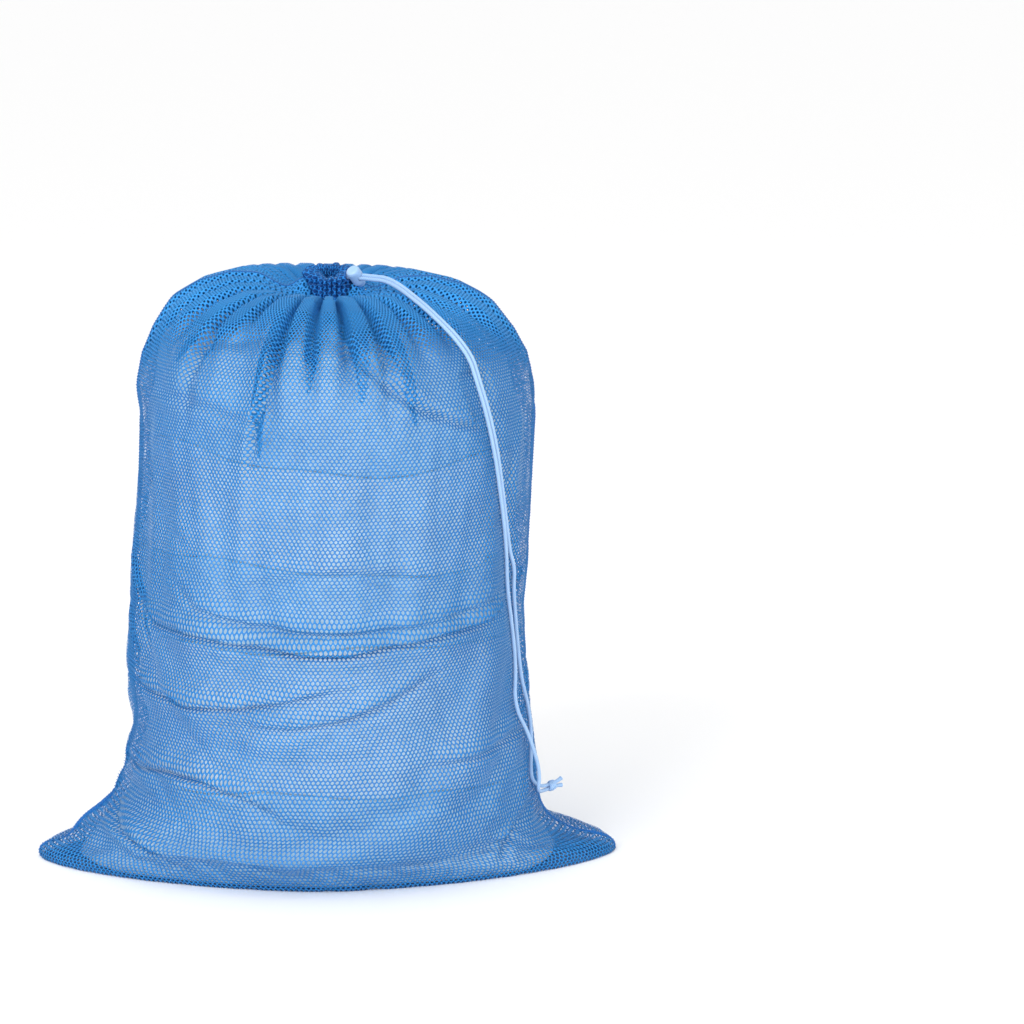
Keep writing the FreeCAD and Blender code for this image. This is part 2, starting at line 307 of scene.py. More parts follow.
def net_cloth(name, yarn_dark, yarn_light, holes=True, behind=None):
    """Knitted mesh: staggered rounded holes between thin bridges of yarn, the yarn painted darker towards
    the holes as shade.
    Where several layers lie on each other the holes are painted with a dark colour that stands for the
    shade of the layers behind."""
    column = 4.4 * MM
    row = 3.05 * MM
    hole_width = 0.36       # half a hole's width, in columns
    hole_height = 0.245     # half a hole's height, in pairs of rows
    paint = Paint(name)
    across, along = paint.uv_parts(CLOTH_UV)
    place = paint.object_place()
    wander = (paint.noise(place, 90.0) - 0.5) * 0.35
    gathered = paint.number("ShaderNodeAttribute", {"attribute_name": GATHERED}, output="Fac")
    open_share = 1 - gathered * 0.32
    across = across / column + wander
    along = along / (2 * row) + (paint.noise(place, 70.0) - 0.5) * 0.2
    from_hole = []
    for shift in (0.0, 0.5):
        aside = abs((across + shift).fraction() - 0.5) / (open_share * hole_width)
        above = abs((along + shift).fraction() - 0.5) / (open_share * hole_height)
        from_hole.append(aside ** 1.6 + above ** 1.6)
    outside = from_hole[0].least(from_hole[1]) - 1.0
    fibre = paint.noise(place, 2600.0, 3.0)
    patch = paint.noise(place, 22.0)
    # Colour of the yarn: painted shade darkens it towards the edges of the holes, and fibre and patch
    # noise give it its own uneven tone.
    yarn = ((outside * 0.8).clamped() * 0.6 + fibre * 0.5 + (patch - 0.5) * 0.5).clamped()
    colour = paint.mix(yarn, yarn_dark, yarn_light)
    # Painted shade: where the holes are not cut, they are filled with a dark colour that stands for the
    # shaded layers behind.
    if behind:
        colour = paint.mix((outside * 5.0).clamped(), behind, colour)
    height = (outside * 1.4).clamped() + fibre * 0.25
    inputs = {
        "Base Color": colour,
        "Roughness": 0.72 - fibre * 0.12,
        "Normal": paint.bump(height, 0.5 * MM, 0.7),
        "Specular IOR Level": 0.2,
        "Sheen Weight": 0.08,
        "Sheen Roughness": 0.45,
        "Sheen Tint": linear(110, 190, 255),
    }
    if holes:
        inputs["Alpha"] = (outside * 9.0).clamped()
    return paint.finish(inputs)


def braided_cord():
    """Round braid: yarns that cross in two slanted families, with painted shade darker in the low places
    between them.
    """
    paint = Paint("braided_cord")
    around, along = paint.uv_parts(CORD_UV)
    pitch = 2.6 * MM
    yarns = 6
    lean = along / pitch
    rising = abs((around * yarns + lean).fraction() - 0.5) * 2
    falling = abs((around * yarns - lean).fraction() - 0.5) * 2
    ridge = rising.most(falling)
    fibre = paint.noise(paint.object_place(), 3000.0, 3.0)
    # Painted shade: the colour follows the braid's relief, darker in its low places and lighter on the
    # raised yarns. Fibre noise adds the yarn's own tone.
    shade = (ridge * 0.75 + fibre * 0.35).clamped()
    colour = paint.mix(shade, linear(96, 146, 204), linear(172, 204, 238))
    return paint.finish({
        "Base Color": colour,
        "Roughness": 0.62 - fibre * 0.1,
        "Normal": paint.bump(ridge + fibre * 0.3, 0.35 * MM, 0.8),
        "Sheen Weight": 0.2,
    })


def cotton(name, shade, stripe):
    """Soft laundry: plain weave with a slight rib."""
    paint = Paint(name)
    place = paint.object_place()
    patch = paint.noise(place, 14.0, 3.0)
    weave = paint.noise(place, 1400.0, 2.0)
    colour = paint.mix((patch * 0.9 + weave * 0.3).clamped(), shade, stripe)
    return paint.finish({
        "Base Color": colour,
        "Roughness": 0.85,
        "Normal": paint.bump(weave * 0.3 + patch, 1.2 * MM, 0.5),
        "Sheen Weight": 0.3,
    })


def sewing_thread():
    """Twisted polyester thread in the cloth's blue."""
    paint = Paint("sewing_thread")
    twist = paint.noise(paint.object_place(), 2200.0, 2.0)
    colour = paint.mix(twist, linear(20, 84, 150), linear(52, 124, 196))
    return paint.finish({
        "Base Color": colour,
        "Roughness": 0.5 + twist * 0.1,
        "Normal": paint.bump(twist, 0.2 * MM, 0.6),
        "Sheen Weight": 0.15,
    })


def lock_plastic():
    """Pale moulded plastic with a fine satin grain."""
    paint = Paint("lock_plastic")
    place = paint.object_place()
    grain = paint.noise(place, 2400.0, 2.0)
    flow = paint.noise(place, 90.0, 2.0)
    colour = paint.mix(flow, linear(146, 182, 222), linear(166, 198, 230))
    return paint.finish({
        "Base Color": colour,
        "Roughness": 0.34 + grain * 0.12,
        "Normal": paint.bump(grain, 0.05 * MM, 0.4),
        "Coat Weight": 0.1,
    })


def drawn_wire():
    """Bright spring steel with fine drawing marks."""
    paint = Paint("drawn_wire")
    streak = paint.noise(paint.object_place(), 1800.0, 2.0)
    colour = paint.mix(streak, linear(150, 152, 156), linear(205, 207, 210))
    return paint.finish({
        "Base Color": colour,
        "Metallic": 1.0,
        "Roughness": 0.28 + streak * 0.15,
        "Normal": paint.bump(streak, 0.02 * MM, 0.4),
    })


# ---- mesh helpers ----------------------------------------------------------------------------------
def place_piece(name, mesh, material, body):
    """Makes a mesh a piece of the bag that rides on a body, nowhere lower than the floor."""
    for vert in mesh.vertices:
        vert.co.z = max(vert.co.z, ABOVE_FLOOR)
    piece = bpy.data.objects.new(name, mesh)
    bpy.context.scene.collection.objects.link(piece)
    mesh.materials.append(material)
    mesh.shade_smooth()
    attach(piece, body)
    return piece


def cloth_mesh(name, points, uv=None, uv_name=CLOTH_UV, ring=False, close_ends=False):
    """A grid of rows and columns laid over the given points, ring-shaped across if asked."""
    rows, columns = points.shape[:2]
    bm = bmesh.new()
    bmesh.ops.create_grid(bm, x_segments=columns - 1, y_segments=rows - 1, size=0.5)
    layer = bm.loops.layers.uv.new(uv_name)
    where = {}
    for vert in bm.verts:
        row = round((vert.co.y + 0.5) * (rows - 1))
        column = round((vert.co.x + 0.5) * (columns - 1))
        where[vert] = (row, column)
    if uv is not None:
        for face in bm.faces:
            for loop in face.loops:
                loop[layer].uv = uv[where[loop.vert]]
    for vert, spot in where.items():
        vert.co = points[spot]
    if ring:
        bmesh.ops.remove_doubles(bm, verts=bm.verts[:], dist=1e-6)
    if close_ends:
        edges = [edge for edge in bm.edges if edge.is_boundary]
        bmesh.ops.holes_fill(bm, edges=edges, sides=0)
        bmesh.ops.recalc_face_normals(bm, faces=bm.faces[:])
    mesh = bpy.data.meshes.new(name)
    bm.to_mesh(mesh)
    bm.free()
    return mesh


def mark_gathered(mesh, ups, columns, front):
    """Marks how tightly the cloth is gathered at each point, from 0 to 1, so that its holes close."""
    from_seam = np.sin(np.linspace(0, math.pi, columns))[None, :]
    start = WALL_TOP + (0.03 if front else -0.02) * from_seam
    full = WALL_TOP + 0.08 + (0.12 if front else -0.04) * from_seam
    spots = rise(np.array(ups)[:, None], start, full).ravel()
    hidden_layers = np.full(len(mesh.vertices) - len(spots), HIDDEN_GATHERED)
    layer = mesh.attributes.new(GATHERED, "FLOAT", "POINT")
    layer.data.foreach_set("value", np.concatenate([spots, hidden_layers]).astype(np.float32))


def join_meshes(mesh, others):
    """Adds the faces of other meshes to a mesh, after its own."""
    bm = bmesh.new()
    for part in [mesh] + others:
        bm.from_mesh(part)
    bm.to_mesh(mesh)
    bm.free()
    for part in others:
        bpy.data.meshes.remove(part)


def grown_frames(points):
    """Direction and a pair of square side directions at each point of a line, without twist."""
    ahead = np.gradient(points, axis=0)
    ahead /= np.linalg.norm(ahead, axis=1)[:, None]
    side = np.cross(ahead[0], (0.0, 0.0, 1.0))
    if np.linalg.norm(side) < 0.1:
        side = np.cross(ahead[0], (1.0, 0.0, 0.0))
    sides = []
    for direction in ahead:
        side = side - direction * side.dot(direction)
        side = side / np.linalg.norm(side)
        sides.append(side)
    sides = np.array(sides)
    return ahead, sides, np.cross(ahead, sides)


def tube_mesh(name, points, radius, around=12, radii=None):
    """A closed tube along a line of points, with a UV map: around, and distance along."""
    points = np.array(points, float)
    aside, above = grown_frames(points)[1:]
    turns = np.linspace(0, 2 * math.pi, around + 1)
    radii = np.full(len(points), radius) if radii is None else radii
    wheel = aside[:, None] * np.cos(turns)[None, :, None] + above[:, None] * np.sin(turns)[None, :, None]
    surface = points[:, None] + wheel * radii[:, None, None]
    distance = lengths_along(points)
    uv = np.zeros(surface.shape[:2] + (2,))
    uv[..., 0] = np.linspace(0, 1, around + 1)[None, :]
    uv[..., 1] = distance[:, None]
    return cloth_mesh(name, surface, uv, CORD_UV, ring=True, close_ends=True)


def spline_points(name, points, spacing):
    """Points about spacing apart along the smooth NURBS line that the given points control."""
    curve = bpy.data.curves.new(name, "CURVE")
    curve.dimensions = "3D"
    spline = curve.splines.new("NURBS")
    spline.points.add(len(points) - 1)
    for target, point in zip(spline.points, points):
        target.co = (*point, 1.0)
    spline.order_u = 3
    spline.use_endpoint_u = True
    spline.resolution_u = 24
    holder = bpy.data.objects.new(name, curve)
    bpy.context.scene.collection.objects.link(holder)
    graph = bpy.context.evaluated_depsgraph_get()
    mesh = bpy.data.meshes.new_from_object(holder.evaluated_get(graph))
    line = np.array([vert.co for vert in mesh.vertices])
    bpy.data.objects.remove(holder)
    bpy.data.curves.remove(curve)
    bpy.data.meshes.remove(mesh)
    distance = lengths_along(line)
    count = max(3, round(distance[-1] / spacing) + 1)
    even = np.linspace(0, distance[-1], count)
    return np.column_stack([np.interp(even, distance, line[:, i]) for i in range(3)])


# ---- drawcord --------------------------------------------------------------------------------------
# The cord leaves the mouth to the right and the front, runs straight through the lock, over the front
# right of the dome and down the right side to the knot that joins its two ends.
EXIT_TURN = math.radians(40)
LOCK_TILT = math.radians(46)
UP = np.array((0.0, 0.0, 1.0))
OUT = np.array((math.cos(EXIT_TURN), -math.sin(EXIT_TURN), 0.0))
BACK = np.array((-OUT[1], OUT[0], 0.0))
STACK = BACK * math.sin(LOCK_TILT) + UP * math.cos(LOCK_TILT)
NECK = np.array((NECK_X, 0.0, CORD_HEIGHT))
STRAND_OFFSET = 1.95 * MM
EXIT_REACH = 25.6 * MM
STRAIGHT_TO = 75.6 * MM
UPPER_EXIT = NECK + OUT * EXIT_REACH + STACK * STRAND_OFFSET
LOWER_EXIT = NECK + OUT * EXIT_REACH - STACK * STRAND_OFFSET


def direction(*parts):
    """A vector of length 1."""
    vector = np.array(parts, float)
    return vector / np.linalg.norm(vector)


KNOT_ALONG = direction(0.75, 0.65, 0.1)
KNOT_ACROSS = direction(*(UP - KNOT_ALONG * UP.dot(KNOT_ALONG)))
KNOT_HALF = 5.2 * MM
KNOT_MIDDLE = np.array((218.9, -28.6, 72.5)) * MM
INTO_KNOT = KNOT_MIDDLE - KNOT_ALONG * KNOT_HALF
OUT_OF_KNOT = KNOT_MIDDLE + KNOT_ALONG * KNOT_HALF
SIDE_GAP = KNOT_ACROSS * (STRAND_OFFSET + 0.1 * MM)
LAST_RUN = KNOT_ALONG * 8 * MM

RIGHT_STRAND = [
    (91, -90.5, 562), (110, -112, 546.5), (125.5, -122, 531.5), (138.5, -126, 513.5),
    (144.5, -130, 493), (151.5, -130, 470), (157.5, -127, 445.5), (163, -121, 417),
    (167.5, -111, 382), (172, -101, 345), (175, -94, 320), (180, -87, 303), (179, -82, 283),
    (181, -72, 257), (183.5, -63, 228), (186, -60, 203), (188.5, -57, 184), (193.5, -49, 165),
    (197, -42, 145), (198.5, -39, 126), (198, -42, 108), (197.5, -47, 94), (199, -49, 82),
]
LEFT_STRAND = [
    (87, -93.5, 562), (106.5, -115.5, 546.5), (122.5, -126, 530.5), (135.5, -130, 512.5),
    (141.5, -133, 492.5), (148.5, -133, 469.5), (154.5, -130.5, 444.5), (160, -124.5, 416),
    (165, -115, 381), (169.5, -105, 344.5), (171.5, -100, 317.5), (172, -96, 300),
    (173, -92, 280), (177, -81, 250), (180.5, -73, 220), (181.5, -73, 196), (180, -82, 177),
    (183.5, -79, 158), (192, -69, 140), (199, -66, 120), (204, -61, 102), (205.5, -60, 88),
    (204, -60, 77), (206.5, -50, 72),
]


def strand_route(exit_point, side, middle_points):
    """Control points of one strand, from the mouth to the knot."""
    corner = NECK + OUT * STRAIGHT_TO + STACK * STRAND_OFFSET * side
    route = [exit_point, exit_point + (corner - exit_point) * 0.5, corner]
    route += [np.array(point) * MM for point in middle_points]
    route += [INTO_KNOT + SIDE_GAP * side - LAST_RUN, INTO_KNOT + SIDE_GAP * side]
    return route


def make_cords(material):
    """The two free strands, the cord inside the channel, the end knot and the two cord ends."""
    ends = []
    for side, name, turn in (
            (1, "upper_cord_tail", (0.75, 0.3, 0.6)),
            (-1, "lower_cord_tail", (0.85, 0.45, -0.1))):
        start = OUT_OF_KNOT + SIDE_GAP * side
        route = [start - KNOT_ALONG * 2 * MM, start + KNOT_ALONG * 3.6 * MM]
        route.append(route[-1] + direction(*turn) * (5.2 if side == 1 else 4.4) * MM)
        line = spline_points(name, route, 0.7 * MM)
        spread = 1 + 0.16 * rise(np.linspace(0, 1, len(line)), 0.6, 1.0)
        mesh = tube_mesh(name, line, CORD / 2, 14, CORD / 2 * spread)
        tail = place_piece(name.replace("cord_tail", "cord_end"), mesh, material, "bag")
        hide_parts(name)
        ends.append(tail)

    knot = place_piece("tied_knot", knot_mesh(), material, "bag")
    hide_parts("end_knot")

    strands = {}
    for name, exit_point, side, points, length, carried in (
            ("drawcord_right_strand", UPPER_EXIT, 1, RIGHT_STRAND, 0.653, [knot] + ends),
            ("drawcord_left_strand", LOWER_EXIT, -1, LEFT_STRAND, 0.673, [])):
        line = spline_points(name, strand_route(exit_point, side, points), 2.2 * MM)
        mesh = tube_mesh(name, line, CORD / 2, 14)
        strand = place_piece(name.replace("drawcord_", ""), mesh, material, "bag")
        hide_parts(name)
        strands[name] = line

    ring_radius = 17.5 * MM
    corner = 20.5 * MM
    first_angle = 36        # the ring is open this far on both sides of the slot
    front_angle = 310       # the front of the mouth, seen from the slot
    route = [UPPER_EXIT, NECK + OUT * corner + STACK * STRAND_OFFSET]
    for angle in range(first_angle, 361 - first_angle, 24):
        turn = math.radians(angle)
        dip = FRONT_DIP * math.exp(-((angle - front_angle) / 34) ** 2)
        spot = NECK + OUT * (ring_radius * math.cos(turn)) + BACK * (ring_radius * math.sin(turn))
        route.append(spot - UP * dip)
    route += [NECK + OUT * corner - STACK * STRAND_OFFSET, LOWER_EXIT]
    line = spline_points("drawcord_in_casing", route, 2.0 * MM)
    mesh = tube_mesh("drawcord_in_casing", line, CORD / 2, 14)
    inner = place_piece("cord_in_hem", mesh, material, "bag")
    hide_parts("drawcord_in_casing")
    return strands


def knot_mesh():
    """Overhand knot: the cord wound slantwise round its own two strands."""
    bm = bmesh.new()
    wraps = 2.6
    turns = np.linspace(0, wraps * 2 * math.pi, 60)
    share = turns / turns[-1]
    third = np.cross(KNOT_ALONG, KNOT_ACROSS)
    wind = 3.55 * MM * (1 - 0.16 * np.square(2 * share - 1))
    reach = (share - 0.5) * 2 * (KNOT_HALF - 1.9 * MM)
    coil = (KNOT_MIDDLE + KNOT_ALONG * reach[:, None]
            + KNOT_ACROSS * (np.cos(turns) * wind)[:, None]
            + third * (np.sin(turns) * wind)[:, None]
            + KNOT_ALONG * (0.9 * MM * np.cos(turns + 0.6))[:, None])
    parts = [tube_mesh("wrap", coil, CORD / 2 * 0.95, 14)]
    for side in (1, -1):
        inside = np.linspace(0, 1, 12)[:, None]
        first = INTO_KNOT + SIDE_GAP * side
        last = OUT_OF_KNOT - SIDE_GAP * side * 0.2
        core = first + (last - first) * inside
        parts.append(tube_mesh("core", core, CORD / 2 * 0.9, 10))
    for part in parts:
        bm.from_mesh(part)
        bpy.data.meshes.remove(part)
    mesh = bpy.data.meshes.new("end_knot")
    bm.to_mesh(mesh)
    bm.free()
    return mesh


# ---- form of the cloth -----------------------------------------------------------------------------
table = np.array(OUTLINE, float)
wall_heights = np.linspace(0, BODY_TOP, 236)
smooth_span = np.arange(-6, 7)
smooth_weights = bell(smooth_span / 3.5)
smooth_weights /= smooth_weights.sum()


def along_height(column):
    """A column of the outline at closely spaced heights, its corners softened."""
    values = np.interp(wall_heights, table[:, 0] * MM, table[:, column] * (MM if column < 4 else 1))
    padded = np.pad(values, len(smooth_span) // 2, mode="reflect", reflect_type="odd")
    return np.convolve(padded, smooth_weights, mode="valid")


left_edge = along_height(1)
right_edge = along_height(2)
half_depth = along_height(3)
roundness = along_height(4)
dome_line = np.array(DOME, float) * MM
dome_distance = lengths_along(dome_line)
front_wall = np.column_stack([half_depth, wall_heights])
front_wall_distance = lengths_along(front_wall)
UNDERSIDE = half_depth[0]
WALL_TOP = UNDERSIDE + front_wall_distance[-1]
CLOTH_TOP = WALL_TOP + dome_distance[-1]


def section(width, depth, middle, power, shares):
    """Half a level outline from its left end to its right, with even spacing along it."""
    turn = np.linspace(math.pi, 0, 361)
    x = middle + width * np.sign(np.cos(turn)) * np.abs(np.cos(turn)) ** (2 / power)
    y = depth * np.sin(turn) ** (2 / power)
    distance = lengths_along(np.column_stack([x, y]))
    distance /= distance[-1]
    return np.interp(shares, distance, x), np.interp(shares, distance, y)


def plain_surface(shares, heights_up_cloth):
    """The half bag without folds, rows up the cloth and columns from its left to its right seam."""
    rows = []
    for up in heights_up_cloth:
        if up <= WALL_TOP:
            height = np.interp(max(up - UNDERSIDE, 0.0), front_wall_distance, wall_heights)
            left = np.interp(height, wall_heights, left_edge)
            right = np.interp(height, wall_heights, right_edge)
            depth = np.interp(height, wall_heights, half_depth)
            power = np.interp(height, wall_heights, roundness)
            x, y = section((right - left) / 2, depth, (right + left) / 2, power, shares)
            z = np.full(len(shares), height)
            if up < UNDERSIDE:
                y = y * (up / UNDERSIDE)
                x = x * (0.98 + 0.02 * up / UNDERSIDE)
        else:
            radius = np.interp(up - WALL_TOP, dome_distance, dome_line[:, 0])
            height = np.interp(up - WALL_TOP, dome_distance, dome_line[:, 1])
            share = radius / dome_line[0, 0]
            top_middle = (right_edge[-1] + left_edge[-1]) / 2
            middle = NECK_X + (top_middle - NECK_X) * share ** 2
            half_width = (right_edge[-1] - left_edge[-1]) / 2
            x, y = section(half_width * share, half_depth[-1] * share, middle, 2.0, shares)
            z = np.full(len(shares), height)
        rows.append(np.column_stack([x, y, z]))
    return np.array(rows)


# Folds: each is a line of points, angle from the front in degrees (to the right) and height in mm,
# then its depth and width, and how far the cloth above hangs over it.
FRONT_FOLDS = [
    ([(-78, 304), (-70, 278), (-62, 264), (-50, 264), (-36, 262), (-22, 259), (-8, 252), (4, 252),
      (18, 259), (34, 264), (52, 266), (68, 272)], 8.5, 6.5, 7.0),
    ([(-52, 312), (-40, 286), (-24, 276), (-6, 272), (12, 272), (30, 276), (48, 284), (62, 296)],
     4.5, 6.0, 4.5),
    ([(-84, 206), (-66, 198), (-46, 194), (-28, 198), (-12, 208), (2, 218)], 6.0, 6.5, 6.0),
    ([(-26, 180), (-12, 181), (4, 190), (18, 206), (30, 226)], 5.0, 7.0, 4.5),
    ([(-30, 306), (-12, 322), (2, 326), (18, 323), (40, 300)], 2.6, 8.0, 2.0),
    ([(-88, 112), (-70, 116), (-56, 124), (-42, 122), (-27, 110), (-18, 94)], 6.5, 6.5, 6.0),
    ([(-82, 74), (-74, 62), (-64, 48), (-54, 32)], 6.0, 6.0, 4.0),
    ([(72, 150), (60, 146), (42, 140), (28, 138)], 5.0, 7.0, 3.5),
    ([(40, 268), (50, 270), (62, 282), (76, 300)], 4.5, 5.5, 3.0),
    ([(-86, 330), (-76, 296), (-68, 262), (-64, 232)], 4.0, 6.0, 1.0),
    ([(-86, 268), (-76, 240), (-70, 216)], 4.0, 6.0, 1.5),
    ([(-17, 528), (-19, 482), (-22, 452), (-23, 432), (-24, 410)], 6.5, 4.0, 0.0),
    ([(5, 531), (15, 498), (27, 469), (38, 455), (54, 442)], 5.5, 6.0, 1.5),
    ([(-52, 524), (-29, 532), (-17, 540)], 3.0, 8.0, 0.0),
    ([(-60, 480), (-37, 471), (-22, 459)], 3.0, 8.0, 1.0),
    ([(-70, 420), (-50, 400), (-30, 392), (-12, 398)], 2.2, 14.0, 0.0),
    ([(-66, 372), (-46, 340), (-22, 336)], 2.4, 12.0, 0.0),
    ([(8, 420), (30, 395), (55, 400)], 2.0, 14.0, 0.0),
    ([(62, 420), (58, 380), (60, 340), (66, 310)], 3.5, 7.0, 0.0),
    ([(20, 360), (45, 345), (66, 352)], 2.2, 12.0, 0.0),
    ([(-35, 156), (-10, 146), (15, 152)], 2.2, 12.0, 0.0),
    ([(4, 92), (28, 102), (52, 92)], 2.0, 12.0, 0.0),
    ([(66, 60), (60, 40), (56, 18)], 5.0, 6.0, 0.0),
]
BACK_FOLDS = [
    ([(-78, 236), (-50, 244), (-20, 236), (10, 246), (40, 262), (70, 268)], 6.0, 8.0, 4.5),
    ([(-60, 172), (-30, 168), (5, 180), (35, 176), (80, 190)], 5.0, 8.0, 3.5),
    ([(-20, 330), (15, 322), (50, 334), (75, 350)], 3.0, 10.0, 1.0),
    ([(-80, 118), (-45, 106), (-15, 112), (10, 104)], 4.0, 8.0, 3.0),
    ([(60, 60), (72, 50), (80, 44)], 4.0, 7.0, 2.0),
    ([(-80, 330), (-55, 322), (-35, 334)], 2.6, 9.0, 0.0),
    ([(20, 525), (24, 480), (27, 440)], 4.5, 5.0, 0.0),
    ([(-30, 530), (-36, 490), (-48, 455)], 4.5, 6.0, 0.0),
    ([(-8, 530), (-5, 495)], 4.0, 6.0, 0.0),
    ([(-50, 430), (-20, 415), (15, 425), (50, 410)], 1.8, 14.0, 0.0),
]


def fold_shift(points, front, folds):
    """How far the folds move each point of a half bag outwards and downwards."""
    angle = np.degrees(np.arctan2(points[..., 0] - NECK_X, points[..., 1]))
    if not front:
        angle = -angle
    around = np.radians(angle) * BODY_RADIUS
    height = points[..., 2]
    outward = np.zeros(height.shape)
    downward = np.zeros(height.shape)
    for line, depth, width, overhang in folds:
        corners = np.array([(math.radians(a) * BODY_RADIUS, h * MM) for a, h in line])
        best = np.full(height.shape, 9.0)
        above = np.zeros(height.shape)
        taper = np.zeros(height.shape)
        total = lengths_along(corners)
        for i in range(len(corners) - 1):
            start, end = corners[i], corners[i + 1]
            run = end - start
            length = np.linalg.norm(run)
            run = run / length
            from_x = around - start[0]
            from_z = height - start[1]
            on = np.clip(from_x * run[0] + from_z * run[1], 0, length)
            off_x = from_x - run[0] * on
            off_z = from_z - run[1] * on
            gap = np.hypot(off_x, off_z)
            nearer = gap < best
            side = np.sign(run[0] * from_z - run[1] * from_x)
            if abs(corners[-1, 0] - corners[0, 0]) > 1e-9 and corners[-1, 0] < corners[0, 0]:
                side = -side
            best = np.where(nearer, gap, best)
            above = np.where(nearer, side, above)
            place = (total[i] + on) / total[-1]
            taper = np.where(nearer, np.sin(math.pi * np.clip(place, 0.02, 0.98)) ** 0.5, taper)
        signed = best * above / (width * MM)
        valley = bell(signed / 0.6)
        brow = bell((signed - 1.5) / 1.1)
        sill = bell((signed + 1.4) / 1.0)
        outward += depth * MM * taper * (0.8 * brow - valley + 0.3 * sill)
        outward += 0.45 * depth * MM * taper * bell((signed - 3.2) / 2.4)
        downward += overhang * MM * taper * bell((signed - 0.9) / 0.9)
    return outward, downward


def waves(seed, count, across_rate, up_rate):
    """A set of soft wrinkles: rates across and up the cloth, and phases."""
    draw = np.random.default_rng(seed)
    return [(draw.uniform(*across_rate), draw.uniform(*up_rate) * draw.choice((-1, 1)),
             draw.uniform(0, 6.28), draw.uniform(0.5, 1.0)) for _ in range(count)]


def wrinkle(around, height, parts):
    """Rounded ridges with narrower valleys between them, mean about zero."""
    total = np.zeros(height.shape)
    for across_rate, up_rate, phase, size in parts:
        wave = np.sin(around * across_rate + height * up_rate + phase)
        total += size * (0.36 - np.abs(wave) ** 0.7 * 0.5)
    return total


def crumple(points, seed, sizes, lie=1.0):
    """Narrow wandering creases, 0 between them and up to about 1 on them. Each size is the distance
    between creases and their strength; lie under 1 makes them lie more level."""
    draw = np.random.default_rng(seed)
    total = np.zeros(points.shape[:-1])
    for distance, strength in sizes:
        for _ in range(3):
            across, along = draw.normal(size=(2, 3)) * (lie, lie, 1.0)
            across /= np.linalg.norm(across)
            along /= np.linalg.norm(along)
            bend = 1.3 * np.sin(points @ along * 2 * math.pi / (1.6 * distance) + draw.uniform(0, 6.28))
            line = np.abs(np.sin(points @ across * math.pi / distance + bend + draw.uniform(0, 6.28)))
            total += strength * (1 - line) ** 2
    return total


LOW_WAVES = waves(3, 5, (8, 26), (22, 60))
LOW_WAVES_BACK = waves(5, 5, (8, 26), (22, 60))
CREASE_DEPTH = 3.4 * MM


def cloth_creases(base, front):
    """Shallow creases all over a half bag, lying mostly level."""
    spot = base * (1, -1 if front else 1, 1)
    return crumple(spot, 11, ((0.150, 0.55), (0.085, 0.3)), 0.45) - 0.55


def draw_gathers():
    """Valleys of the gathers round the neck: angle, width, how far up the cloth each starts, depth."""
    draw = np.random.default_rng(21)
    made = [
        (343.0, 3.4, 0.02, 1.0), (354.0, 4.2, 0.22, 1.0), (5.0, 4.6, 0.16, 1.15),
        (17.0, 4.2, 0.06, 1.1), (30.0, 4.4, 0.30, 0.9),
    ]
    centre = 42.0
    while centre < 328:
        width = draw.uniform(3.6, 5.6)
        made.append((centre, width, draw.uniform(0.05, 0.5), draw.uniform(0.7, 1.1)))
        centre += width * draw.uniform(2.3, 3.1)
    return sorted(made)


GATHERS = draw_gathers()
GATHER_START = UNDERSIDE + 0.425    # distance up the cloth where the longest gather starts


def angle_round(points, front):
    """Angle round the neck from the front towards the right, degrees, from 0 to 360."""
    across = points[..., 0] - NECK_X
    return np.degrees(np.arctan2(across, points[..., 1] if front else -points[..., 1])) % 360


def gather_shift(angle, up):
    """How far the gathers move the cloth outwards; they deepen towards the neck."""
    along = (up - GATHER_START) / (CLOTH_TOP - GATHER_START)
    facing = np.cos(np.radians(angle))
    depth = 12.5 * MM * rise(along, 0.0, 0.6) * (1 - 0.8 * rise(along, 0.84, 0.97))
    depth = depth * (0.45 + 0.55 * rise(facing, -0.3, 0.5))
    total = np.zeros(angle.shape)
    for centre, width, start, size in GATHERS:
        gap = (angle - centre + 180) % 360 - 180
        fade = rise(along, start, start + 0.3)
        valley = bell(gap / (width * 0.5))
        ridge = bell((np.abs(gap) - 1.35 * width) / (0.9 * width))
        total += size * fade * (0.5 * ridge - valley)
    return depth * np.clip(total, -1.3, 0.34)


def cloth_coordinates(angle, shares, ups):
    """Place on the flat panel. In the gathers the cloth between two valleys keeps its width, and the
    rest of it is hidden in the valleys."""
    across = (np.array(shares) - 0.5)[None, :] * PANEL_WIDTH + np.zeros(angle.shape)
    up = np.array(ups)[:, None] + np.zeros(angle.shape)
    along = (up - GATHER_START) / (CLOTH_TOP - GATHER_START)
    valleys = np.array([gather[0] for gather in GATHERS])
    spot = np.searchsorted(valleys, angle)
    before = valleys[(spot - 1) % len(valleys)]
    after = valleys[spot % len(valleys)]
    half = ((after - before) % 360) / 2
    from_ridge = (angle - before) % 360 - half
    radius = np.interp(np.clip(up - WALL_TOP, 0, None), dome_distance, dome_line[:, 0])
    kept = np.clip(radius * 1.7 / 0.194, 0, 1)
    share = rise(along, 0.25, 0.5) * (1 - kept)
    per_degree = PANEL_WIDTH / 180
    sign = np.where(np.diff(across, axis=1).mean() > 0, 1.0, -1.0)
    fine_ups = np.linspace(0, CLOTH_TOP, 400)
    rate = 1 - 0.26 * rise(-fine_ups, -UNDERSIDE - 0.22, -UNDERSIDE - 0.10)
    stretched = np.concatenate([[0.0], np.cumsum((rate[1:] + rate[:-1]) / 2) * fine_ups[1]])
    up = np.interp(up, fine_ups, stretched)
    return np.stack([across - sign * from_ridge * per_degree * share, up], axis=-1)


